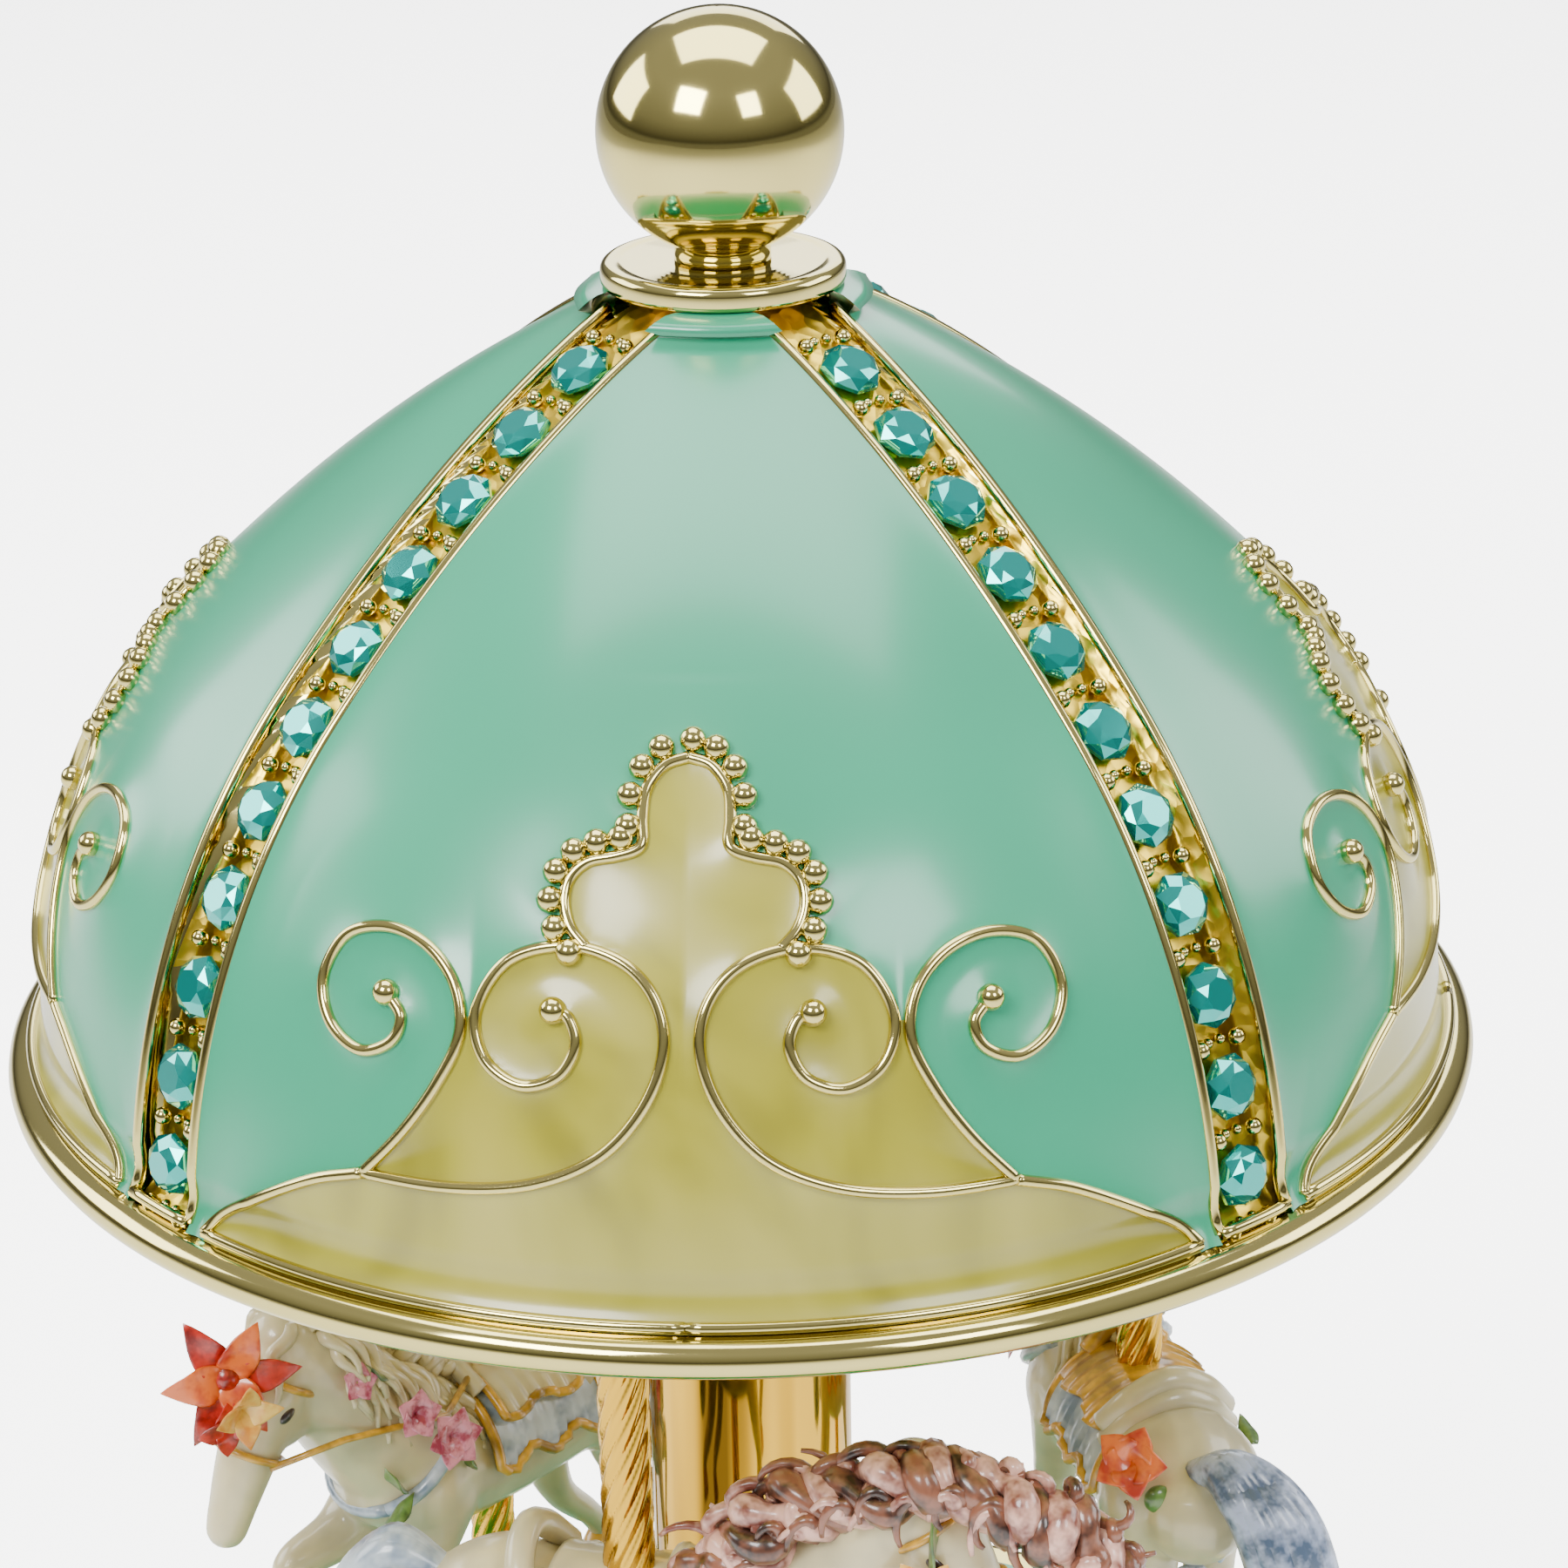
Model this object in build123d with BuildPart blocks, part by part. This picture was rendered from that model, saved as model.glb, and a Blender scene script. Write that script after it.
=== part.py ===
"""Carousel music box: a winding key, an 18-note movement and three horses under a jewelled enamel canopy.

Millimetres, +Z up. The origin is at the centre of the underside, and the middle of one canopy panel
faces -Y. Everything above the base turns on the drive spindle.
"""
from build123d import *
from math import acos, atan2, cos, degrees, pi, radians, sin, sqrt
import os

os.makedirs("parts", exist_ok=True)

# Base, from the felt upwards
FOOT_RADIUS = 39.0
FOOT_BORE = 33.0
FELT_TOP = 1.0
WALL_LOW = 5.0
WALL_HIGH = 34.0
WALL_BULGE = 36.4          # radius of the enamelled wall at mid height
WALL_END = 35.4            # and at its two ends
CAVITY_RADIUS = 33.5
DECK_LOW = 34.5
DECK_HIGH = 36.5
FLOOR_LOW = 9.0
FLOOR_HIGH = 10.5
POST_CIRCLE = 30.0
POST_ANGLES = (60, 180, 300)
POST_RADIUS = 3.2
POST_HEIGHT = 6.0
POST_BORE_DEPTH = 4.0
PANEL_LOW = 7.0            # lower edge of the wall's enamel
PANEL_HIGH = 32.0
CORNICE_OVERHANG = 0.8
BUSHING_RADIUS = 4.0
SWAG_END = (19.0, 28.5)    # where a swag's two curves meet, and the lowest point of each
SWAG_DIP = 15.5
SWAG_UPPER_DIP = 24.5
SCREW_HEAD = 1.0
SLOT_DEPTH = 0.4
FLOOR_SCREW_RADIUS = 1.2
FLOOR_BORE = 2.6

# Turntable and column
WASHER_TOP = 37.5
PLATFORM_LOW = 37.8
PLATFORM_HIGH = 41.0
PLATFORM_RADIUS = 35.5
SPINDLE_RADIUS = 2.0
COLUMN_RADIUS = 5.4
ROD_RADIUS = 1.25
POLE_RADIUS = 1.3
POLE_CIRCLE = 22.0
POLE_ANGLES = {"front": -11.7, "right": 108.3, "left": -131.7}
STUD_RADIUS = 0.9
STUD_LENGTH = 3.4
NUT_HEIGHT = 1.6
NUT_RADIUS = 2.2
SOCKET_DEPTH = 1.5
FLANGE_RADIUS = 9.0        # bare gold round the column, and the bushing's flange under it
TRAY_RIM = 2.5
TRAY_DEPTH = 0.6
TUBE_WALL = 1.0
FOOT_REACH = 3.2           # how far the column's foot and capital stand out, and their height
FOOT_HEIGHT = 5.0

# Canopy, measured from the lower edge of its rim
RIM_Z = 92.0
RIM_RADIUS = 37.5
BAND_TOP = 1.7
SHOULDER_CENTRE = (5.8, 3.0)
SHOULDER_RADIUS = 30.2
CROWN_RADIUS = 75.7
WAIST_ANGLE = 3.0
JOIN_ANGLE = 45.0
COLLAR_SEAT = 39.86
COLLAR_TOP = 41.06
SEAT_RADIUS = 6.6
COLLAR_RADIUS = 5.98
BALL_RADIUS = 5.98
BALL_CENTRE = 47.3
ENAMEL_DEPTH = 0.5         # below the finished surface
CHANNEL_DEPTH = 1.6
SHELL_DEPTH = 2.9
CHANNEL_WIDTH = 4.2
RAIL_WIDTH = 0.5
WIRE_WIDTH = 0.5
WIRE_HEIGHT = 0.2
CEILING_LOW = 3.0
CEILING_HIGH = 4.2
NECK_RADIUS = 2.35
SEAT_THICK = 2.5
COLUMN_LOW = PLATFORM_HIGH
COLUMN_TOP = RIM_Z + CEILING_LOW
ROD_TOP = RIM_Z + BALL_CENTRE - 1.0

# Scroll design of one canopy panel: x across, y up from the rim
LOBE_CENTRE = (0, 23.45)
LOBE_RADIUS = 1.95
SIDE_LOBE = (3.6, 20.1)
SCROLL_CORNER = (14.6, 7.8)
BOAT_TIP = (22.6, BAND_TOP + 0.4)
FRONT = (0, -1, 0)
PUNCH = 45.0               # reach of a panel outline pressed through the front wall

# Trimmings
STONE_RADIUS = 1.55
STONE_PITCH = 4.35
CANOPY_STONES = 11
BASE_STONES = 5
STONE_SEAT = 0.7           # girdle above the channel's floor
FIRST_STONE = 0.6          # up the rib's arc from the waist
PRONG_RADIUS = 0.45
PRONG_SEAT = 0.1
BEAD_RADIUS = 0.5
LOBE_BEAD_RING = 2.9
SIDE_BEAD_RING = 2.75

# Horses: each is laid out in its own frame with +X forwards, the pole along Z through the saddle and
# the middle of the barrel at the origin. Legs are (hip, knee, hoof) points in (x, z), left and right.
HORSE_LEGS = {
    "front": (((6.0, -2.0), (13.2, -4.2), (11.2, -8.6)), ((5.5, -2.0), (8.6, -7.6), (8.0, -12.4))),
    "hind": (((-7.0, -1.0), (-6.6, -7.6), (-10.4, -12.0)), ((-7.6, -1.0), (-9.6, -6.6), (-13.4, -10.4))),
}
HORSE_HEIGHTS = {"front": RIM_Z - 24.0, "right": RIM_Z - 28.0, "left": RIM_Z - 32.8}
LEG_SPREAD = 1.9
THIGH_RADIUS = {"front": 1.7, "hind": 2.0}

# Movement
BEDPLATE_LOW = 10.5
BEDPLATE_HIGH = 12.5
ARBOR_RADIUS = 1.9
BARREL_LOW = 14.9
BARREL_HIGH = 19.6
BARREL_RADIUS = 10.0
CROWN_TEETH = 36
CROWN_PITCH_RADIUS = 12.75
CROWN_ROOT = 16.0
CROWN_PITCH_Z = 16.6
PINION_TEETH = 12
PINION_PITCH_RADIUS = CROWN_PITCH_RADIUS * PINION_TEETH / CROWN_TEETH
AXIS_Z = CROWN_PITCH_Z + PINION_PITCH_RADIUS
CYLINDER_RADIUS = 6.0
CYLINDER_X = (17.0, 26.4)
PIN_RADIUS = 0.16
PIN_HEIGHT = 0.4
NOTES = 18
GEAR_TEETH = 30
GEAR_PITCH_RADIUS = 7.5
LAY_TEETH = 10
LAY_PITCH_RADIUS = 2.5
LAY_Y = GEAR_PITCH_RADIUS + LAY_PITCH_RADIUS
GEAR_X = (27.0, 28.2)
WHEEL_TEETH = 12
WHEEL_PITCH_RADIUS = 2.75
WHEEL_X = 21.0
WORM_PITCH_RADIUS = 1.25
WORM_Y = LAY_Y + WHEEL_PITCH_RADIUS + WORM_PITCH_RADIUS
WORM_LEAD = 2 * pi * WHEEL_PITCH_RADIUS / WHEEL_TEETH
ARBOR_TIP_X = 11.4
AXLE_RADIUS = 0.75
LAY_AXLE_RADIUS = 0.5
BRIDGE_X = (15.0, 29.0)
BRIDGE_THICK = 1.2
BRIDGE_RISE = 2.4          # top of a bridge above the axis
RUNNING_GAP = 0.05
BEDPLATE_SCREWS = [(-11, -9), (-11, 9), (24, -9), (24, 9)]
BEDPLATE_SCREW_RADIUS = 1.0
COMB_TIP = CYLINDER_RADIUS + PIN_HEIGHT + 0.1
COMB_THICK = 0.5
COMB_BACK = 16.0
COMB_ROOT = 12.2
COMB_MIDDLE = sum(CYLINDER_X) / 2
COMB_SCREWS = [(COMB_MIDDLE - 2.8, -14.3), (COMB_MIDDLE + 2.8, -14.3)]
COMB_SCREW_RADIUS = 0.6
CYLINDER_LENGTH = CYLINDER_X[1] - CYLINDER_X[0]
NOTE_PITCH = CYLINDER_LENGTH / (NOTES + 1)
PINS_PER_NOTE = 4
WORM_LOW = 17.0
WORM_HIGH = 24.4
WORM_CORE = 0.85
PIVOT_RADIUS = 0.45
THREAD_TURNS = 4
THREAD_HEIGHT = 0.65
THREAD_THICK = 0.3
THREAD_LOW = AXIS_Z - WORM_LEAD * (THREAD_TURNS / 2 + 0.25)
FLY_LOW = 25.2
FLY_HIGH = 29.6
GOVERNOR_TOP = 30.4
BARREL_WALL = 0.8
SPRING_START = 3.0
SPRING_THICK = 0.35
SPRING_WIDTH = 3.2
SPRING_HALF_TURNS = 13
KEY_LOW = 1.4
KEY_BORE = 1.5
KEY_SPAN = 23.0
KEY_HEIGHT = 6.0
SHOULDER_Z = 8.6           # where the winding arbor thickens above the key


def save(piece, name):
    """Label a finished piece and write it under its own name."""
    piece.part.label = name
    export_step(piece.part, f"parts/{name}.step")


def dome_solid(depth, low=0.0):
    """Solid of revolution whose outside lies the given depth inside the finished canopy surface."""
    shoulder_r, shoulder_z = SHOULDER_CENTRE
    shift = CROWN_RADIUS - SHOULDER_RADIUS
    crown_r = shoulder_r - shift * cos(radians(JOIN_ANGLE))
    crown_z = shoulder_z - shift * sin(radians(JOIN_ANGLE))
    crown_end = degrees(acos(-crown_r / (CROWN_RADIUS - depth)))
    with BuildPart() as dome:
        with BuildSketch(Plane.XZ):
            with BuildLine():
                shoulder = CenterArc(
                    (shoulder_r, RIM_Z + shoulder_z),
                    SHOULDER_RADIUS - depth,
                    WAIST_ANGLE,
                    JOIN_ANGLE - WAIST_ANGLE,
                )
                crown = CenterArc(
                    (crown_r, RIM_Z + crown_z),
                    CROWN_RADIUS - depth,
                    JOIN_ANGLE,
                    crown_end - JOIN_ANGLE,
                )
                waist = shoulder @ 0
                skirt_end = (RIM_RADIUS - depth, RIM_Z + 0.9)
                ThreePointArc(waist, (36.15 - depth, RIM_Z + 2.6), skirt_end)
                Polyline(skirt_end, (RIM_RADIUS - depth, RIM_Z + low), (0, RIM_Z + low), crown @ 1)
            make_face()
        revolve(axis=Axis.Z)
    return dome


def dome_radius(height, depth=0.0):
    """Canopy radius at a height above the rim's lower edge, for the part above the waist."""
    shoulder_r, shoulder_z = SHOULDER_CENTRE
    join_z = shoulder_z + (SHOULDER_RADIUS - depth) * sin(radians(JOIN_ANGLE))
    if height < join_z:
        return shoulder_r + sqrt((SHOULDER_RADIUS - depth) ** 2 - (height - shoulder_z) ** 2)
    shift = (CROWN_RADIUS - SHOULDER_RADIUS) * cos(radians(JOIN_ANGLE))
    rise = height - shoulder_z + shift
    return shoulder_r - shift + sqrt((CROWN_RADIUS - depth) ** 2 - rise**2)


def crossed_bars(width, low, high, reach=45.0):
    """Two bars crossed on the diagonals, which mark out the four jewelled ribs."""
    with BuildPart() as bars:
        with BuildSketch(Plane.XY.offset(low)):
            Rectangle(2 * reach, width, rotation=45)
            Rectangle(2 * reach, width, rotation=-45)
        extrude(amount=high - low)
    return bars


def repeat_four(piece):
    """The same piece on all four sides."""
    with BuildPart() as group:
        with PolarLocations(0, 4):
            add(piece.part)
    return group


# ---------------------------------------------------------------- base
with BuildPart() as felt_ring:
    with BuildSketch():
        Circle(FOOT_RADIUS - 1.0)
        Circle(FOOT_BORE + 0.5, mode=Mode.SUBTRACT)
    extrude(amount=FELT_TOP)
save(felt_ring, "felt_ring")

with BuildPart() as foot_ring:
    with BuildSketch(Plane.XZ):
        with BuildLine():
            low = (FOOT_RADIUS - 0.8, FELT_TOP)
            high = (WALL_END + 0.6, WALL_LOW)
            edge = Line(low, (FOOT_RADIUS, FELT_TOP + 0.8))
            roll = ThreePointArc(edge @ 1, (FOOT_RADIUS - 0.9, FELT_TOP + 2.6), high)
            Polyline(roll @ 1, (FOOT_BORE, WALL_LOW), (FOOT_BORE, FELT_TOP), low)
        make_face()
    revolve(axis=Axis.Z)
save(foot_ring, "foot_ring")


def wall_solid(depth, low=WALL_LOW, high=WALL_HIGH):
    """Bulged drum whose outside lies the given depth inside the finished wall of the base."""
    end = WALL_END - depth
    middle = (WALL_LOW + WALL_HIGH) / 2
    with BuildPart() as drum:
        with BuildSketch(Plane.XZ):
            with BuildLine():
                bulge = ThreePointArc((end, WALL_LOW), (WALL_BULGE - depth, middle), (end, WALL_HIGH))
                Polyline(bulge @ 0, (0, WALL_LOW), (0, WALL_HIGH), bulge @ 1)
            make_face()
        revolve(axis=Axis.Z)
        with BuildSketch(Plane.XY.offset(low)):
            Circle(WALL_BULGE)
        extrude(amount=high - low, mode=Mode.INTERSECT)
    return drum


def wall_radius(height, depth=0.0):
    """Radius of the finished wall of the base at a height."""
    half = (WALL_HIGH - WALL_LOW) / 2
    rise = WALL_BULGE - WALL_END
    bulge_radius = (half**2 + rise**2) / (2 * rise)
    offset = height - (WALL_LOW + WALL_HIGH) / 2
    return WALL_BULGE - depth - bulge_radius + sqrt(bulge_radius**2 - offset**2)


wall_channel = crossed_bars(CHANNEL_WIDTH, PANEL_LOW, PANEL_HIGH)
wall_floor = wall_solid(CHANNEL_DEPTH)
with BuildPart() as wall_cut:
    add(wall_channel.part)
    add(wall_floor.part, mode=Mode.SUBTRACT)

with BuildPart() as base_housing:
    add(wall_solid(ENAMEL_DEPTH).part)
    add(wall_cut.part, mode=Mode.SUBTRACT)
    # gold bands that close the enamel at top and bottom
    for band_low, band_high in ((WALL_LOW, PANEL_LOW), (PANEL_HIGH, WALL_HIGH)):
        add(wall_solid(0, band_low, band_high).part)
    # cornice and deck
    with BuildSketch(Plane.XY.offset(WALL_HIGH)):
        Circle(WALL_END + CORNICE_OVERHANG)
    extrude(amount=DECK_HIGH - WALL_HIGH)
    fillet(base_housing.faces().sort_by(Axis.Z)[-1].edges(), radius=CORNICE_OVERHANG)
    with BuildSketch(Plane.XY.offset(WALL_LOW)):
        Circle(CAVITY_RADIUS)
    extrude(amount=DECK_LOW - WALL_LOW, mode=Mode.SUBTRACT)
    # posts for the floor screws, joined to the wall
    with BuildSketch(Plane.XY.offset(FLOOR_HIGH)):
        for angle in POST_ANGLES:
            x = POST_CIRCLE * cos(radians(angle))
            y = POST_CIRCLE * sin(radians(angle))
            with Locations((x, y)):
                Circle(POST_RADIUS)
            with Locations((x * 1.08, y * 1.08)):
                Rectangle(4.6, 6.0, rotation=angle)
        Circle(CAVITY_RADIUS + 0.5, mode=Mode.INTERSECT)
    extrude(amount=POST_HEIGHT)
    with BuildSketch(Plane.XY.offset(FLOOR_HIGH)):
        with PolarLocations(POST_CIRCLE, 3, start_angle=60):
            Circle(FLOOR_SCREW_RADIUS)
    extrude(amount=POST_BORE_DEPTH, mode=Mode.SUBTRACT)
    # hole for the spindle bushing
    with BuildSketch(Plane.XY.offset(DECK_LOW)):
        Circle(BUSHING_RADIUS)
    extrude(amount=DECK_HIGH - DECK_LOW, mode=Mode.SUBTRACT)
save(base_housing, "base_housing")

# enamel of the base: a mint wall with a cream swag on each side
with BuildPart() as wall_skin:
    add(wall_solid(0, PANEL_LOW, PANEL_HIGH).part)
    add(wall_solid(ENAMEL_DEPTH).part, mode=Mode.SUBTRACT)
    add(crossed_bars(CHANNEL_WIDTH + 2 * RAIL_WIDTH, PANEL_LOW, PANEL_HIGH).part, mode=Mode.SUBTRACT)
with BuildPart() as front_wall:
    add(wall_skin.part)
    with Locations((0, -30, 20)):
        Box(60, 30, 40, mode=Mode.INTERSECT)


def swag_curves():
    """The two curves of a swag, from tip to tip."""
    left_tip = (-SWAG_END[0], SWAG_END[1])
    ThreePointArc(left_tip, (0, SWAG_DIP), SWAG_END)
    ThreePointArc(SWAG_END, (0, SWAG_UPPER_DIP), left_tip)


with BuildSketch(Plane.XZ) as swag:
    with BuildLine():
        swag_curves()
    make_face()
with BuildSketch(Plane.XZ) as swag_wire:
    with BuildLine():
        swag_curves()
    trace(line_width=WIRE_WIDTH)
with BuildPart() as front_wall_cream:
    extrude(swag.sketch, amount=PUNCH, dir=FRONT)
    extrude(swag_wire.sketch, amount=PUNCH, dir=FRONT, mode=Mode.SUBTRACT)
    add(front_wall.part, mode=Mode.INTERSECT)
save(repeat_four(front_wall_cream), "base_cream_panels")
with BuildPart() as front_wall_mint:
    add(front_wall.part)
    extrude(swag.sketch, amount=PUNCH, dir=FRONT, mode=Mode.SUBTRACT)
    extrude(swag_wire.sketch, amount=PUNCH, dir=FRONT, mode=Mode.SUBTRACT)
save(repeat_four(front_wall_mint), "base_mint_panels")
with BuildPart() as front_wall_wire:
    extrude(swag_wire.sketch, amount=PUNCH, dir=FRONT)
    add(wall_solid(-WIRE_HEIGHT, PANEL_LOW, PANEL_HIGH).part, mode=Mode.INTERSECT)
    add(wall_solid(ENAMEL_DEPTH).part, mode=Mode.SUBTRACT)
save(repeat_four(front_wall_wire), "base_scrollwork")


def tilt_plane(x, y, z, rise):
    """Plane on a wall of revolution: normal outwards, raised by an angle above the horizontal."""
    around = atan2(y, x)
    normal = (cos(around) * cos(rise), sin(around) * cos(rise), sin(rise))
    return Plane(origin=(x, y, z), x_dir=(-sin(around), cos(around), 0), z_dir=normal)


def stone_set(planes):
    """Round faceted stones, one on each plane, with the girdle on the plane."""
    with BuildPart() as stones:
        with Locations(*planes):
            Cone(0.35, STONE_RADIUS, 0.7, align=(Align.CENTER, Align.CENTER, Align.MAX))
            Cone(STONE_RADIUS, 0.85, 0.6, align=(Align.CENTER, Align.CENTER, Align.MIN))
    return stones


def bead_set(planes, radius):
    """Small solid balls, one at each plane's origin."""
    with BuildPart() as beads:
        with Locations(*planes):
            Sphere(radius)
    return beads


base_stone_planes = []
base_prong_planes = []
for quarter in range(4):
    around = radians(45 + 90 * quarter)
    for row in range(BASE_STONES):
        height = (PANEL_LOW + PANEL_HIGH) / 2 + (row - (BASE_STONES - 1) / 2) * STONE_PITCH * 1.08
        reach = wall_radius(height, CHANNEL_DEPTH - STONE_SEAT)
        base_stone_planes.append(tilt_plane(reach * cos(around), reach * sin(around), height, 0))
        for side in (-1, 1):
            reach = wall_radius(height, CHANNEL_DEPTH - PRONG_SEAT)
            swing = around + side * 1.2 / reach
            point = (reach * cos(swing), reach * sin(swing), height + STONE_PITCH * 0.54)
            base_prong_planes.append(tilt_plane(*point, 0))
save(stone_set(base_stone_planes), "base_stones")
save(bead_set(base_prong_planes, PRONG_RADIUS), "base_prongs")

# ---------------------------------------------------------------- floor of the base
with BuildPart() as floor_plate:
    with BuildSketch(Plane.XY.offset(FLOOR_LOW)):
        Circle(CAVITY_RADIUS - 0.1)
        Circle(FLOOR_BORE, mode=Mode.SUBTRACT)
        with PolarLocations(POST_CIRCLE, 3, start_angle=60):
            Circle(FLOOR_SCREW_RADIUS + 0.2, mode=Mode.SUBTRACT)
        with Locations(*BEDPLATE_SCREWS):
            Circle(BEDPLATE_SCREW_RADIUS + 0.1, mode=Mode.SUBTRACT)
    extrude(amount=FLOOR_HIGH - FLOOR_LOW)
save(floor_plate, "floor_plate")


def screw_set(points, head_low, length, head_radius, shank_radius, head_up):
    """Pan-head screws at the given points, heads up or heads down."""
    with BuildPart() as screws:
        with BuildSketch(Plane.XY.offset(head_low)):
            with Locations(*points):
                Circle(head_radius)
        extrude(amount=SCREW_HEAD)
        with BuildSketch(Plane.XY.offset(head_low - length if head_up else head_low + SCREW_HEAD)):
            with Locations(*points):
                Circle(shank_radius)
        extrude(amount=length)
        slot_low = head_low + SCREW_HEAD - SLOT_DEPTH if head_up else head_low
        with BuildSketch(Plane.XY.offset(slot_low)):
            with Locations(*points):
                Rectangle(2 * head_radius, 0.45)
        extrude(amount=SLOT_DEPTH, mode=Mode.SUBTRACT)
    return screws


post_points = [(POST_CIRCLE * cos(radians(a)), POST_CIRCLE * sin(radians(a))) for a in POST_ANGLES]
save(screw_set(post_points, FLOOR_LOW - SCREW_HEAD, 5.0, 2.0, FLOOR_SCREW_RADIUS, False), "floor_screws")

# ---------------------------------------------------------------- movement: fixed pieces
with BuildPart() as bedplate:
    with BuildSketch(Plane.XY.offset(BEDPLATE_LOW)):
        with Locations((7, 1)):
            Rectangle(48, 36)
        Circle(32.6, mode=Mode.INTERSECT)
        Circle(ARBOR_RADIUS + RUNNING_GAP, mode=Mode.SUBTRACT)
        with Locations(*BEDPLATE_SCREWS):
            Circle(BEDPLATE_SCREW_RADIUS, mode=Mode.SUBTRACT)
        with Locations((WHEEL_X, WORM_Y)):
            Circle(0.55, mode=Mode.SUBTRACT)
    extrude(amount=BEDPLATE_HIGH - BEDPLATE_LOW)
save(bedplate, "bedplate")
bedplate_screws = screw_set(BEDPLATE_SCREWS, FLOOR_LOW - SCREW_HEAD, 3.4, 1.8, BEDPLATE_SCREW_RADIUS, False)
save(bedplate_screws, "bedplate_screws")

with BuildPart() as comb_block:
    with BuildSketch(Plane.XY.offset(BEDPLATE_HIGH)):
        with Locations((COMB_MIDDLE, -(COMB_BACK + COMB_ROOT + 0.4) / 2)):
            Rectangle(CYLINDER_LENGTH, COMB_BACK - COMB_ROOT - 0.4)
    extrude(amount=AXIS_Z - COMB_THICK / 2 - BEDPLATE_HIGH)
    with BuildSketch(Plane.XY.offset(AXIS_Z - COMB_THICK / 2 - 3.0)):
        with Locations(*COMB_SCREWS):
            Circle(COMB_SCREW_RADIUS)
    extrude(amount=3.0, mode=Mode.SUBTRACT)
save(comb_block, "comb_block")
with BuildPart() as comb:
    with BuildSketch(Plane.XY.offset(AXIS_Z - COMB_THICK / 2)):
        with Locations((COMB_MIDDLE, -(COMB_BACK + COMB_ROOT) / 2)):
            Rectangle(CYLINDER_LENGTH, COMB_BACK - COMB_ROOT)
        for note in range(NOTES):
            with Locations((CYLINDER_X[0] + NOTE_PITCH * (note + 1), -(COMB_ROOT + COMB_TIP) / 2)):
                Rectangle(NOTE_PITCH * 0.7, COMB_ROOT - COMB_TIP)
        with Locations(*COMB_SCREWS):
            Circle(COMB_SCREW_RADIUS + 0.05, mode=Mode.SUBTRACT)
    extrude(amount=COMB_THICK)
save(comb, "comb")
save(screw_set(COMB_SCREWS, AXIS_Z + COMB_THICK / 2, 3.0, 1.2, COMB_SCREW_RADIUS, True), "comb_screws")

for name, low_x in zip(("inner_bridge", "outer_bridge"), BRIDGE_X):
    with BuildPart() as bridge:
        with BuildSketch(Plane.YZ.offset(low_x)):
            with Locations((3.6, (BEDPLATE_HIGH + AXIS_Z + BRIDGE_RISE) / 2)):
                Rectangle(15.2, AXIS_Z + BRIDGE_RISE - BEDPLATE_HIGH)
            with Locations((0, AXIS_Z)):
                Circle(AXLE_RADIUS + RUNNING_GAP, mode=Mode.SUBTRACT)
            with Locations((LAY_Y, AXIS_Z)):
                Circle(LAY_AXLE_RADIUS + RUNNING_GAP, mode=Mode.SUBTRACT)
        extrude(amount=BRIDGE_THICK)
        fillet(bridge.edges().filter_by(Axis.X).group_by(Axis.Z)[-1], radius=1.5)
    save(bridge, name)

with BuildPart() as governor_bracket:
    with BuildSketch(Plane.YZ.offset(WHEEL_X - 2.0)):
        with Locations(((WORM_Y + 4.0), (BEDPLATE_HIGH + GOVERNOR_TOP + 1.2) / 2)):
            Rectangle(1.2, GOVERNOR_TOP + 1.2 - BEDPLATE_HIGH)
        with Locations(((WORM_Y + 1.4), GOVERNOR_TOP + 0.6)):
            Rectangle(6.4, 1.2)
    extrude(amount=4.0)
    with BuildSketch(Plane.XY.offset(GOVERNOR_TOP)):
        with Locations((WHEEL_X, WORM_Y)):
            Circle(PIVOT_RADIUS + RUNNING_GAP)
    extrude(amount=1.2, mode=Mode.SUBTRACT)
save(governor_bracket, "governor_bracket")

# ---------------------------------------------------------------- movement: turning pieces
with BuildPart() as cylinder_arbor:
    with BuildSketch(Plane.YZ.offset(ARBOR_TIP_X)):
        with Locations((0, AXIS_Z)):
            Circle(AXLE_RADIUS)
    extrude(amount=BRIDGE_X[1] + BRIDGE_THICK + 0.2 - ARBOR_TIP_X)
save(cylinder_arbor, "cylinder_arbor")


def toothed_wheel(low_x, thick, centre_y, teeth, pitch_radius, depths, tooth_width, bore, turn):
    """Spur wheel with its axis along X; turn sets the direction of one tooth in degrees."""
    first_tooth = (0, cos(radians(turn)), sin(radians(turn)))
    plane = Plane(origin=(low_x, centre_y, AXIS_Z), x_dir=first_tooth, z_dir=(1, 0, 0))
    root = pitch_radius - depths[1]
    tip = pitch_radius + depths[0]
    with BuildPart() as wheel:
        with BuildSketch(plane):
            Circle(root)
            with PolarLocations(0, teeth):
                Polygon(
                    (root * 0.9, -tooth_width * 0.65),
                    (tip, -tooth_width * 0.3),
                    (tip, tooth_width * 0.3),
                    (root * 0.9, tooth_width * 0.65),
                    align=None,
                )
            Circle(bore, mode=Mode.SUBTRACT)
        extrude(amount=thick)
    return wheel


save(
    toothed_wheel(11.9, 1.7, 0, PINION_TEETH, PINION_PITCH_RADIUS, (0.45, 0.6), 0.6, AXLE_RADIUS, -90),
    "cylinder_pinion",
)
save(
    toothed_wheel(GEAR_X[0], 1.2, 0, GEAR_TEETH, GEAR_PITCH_RADIUS, (0.4, 0.55), 0.5, AXLE_RADIUS, 0),
    "cylinder_gear",
)

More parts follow.
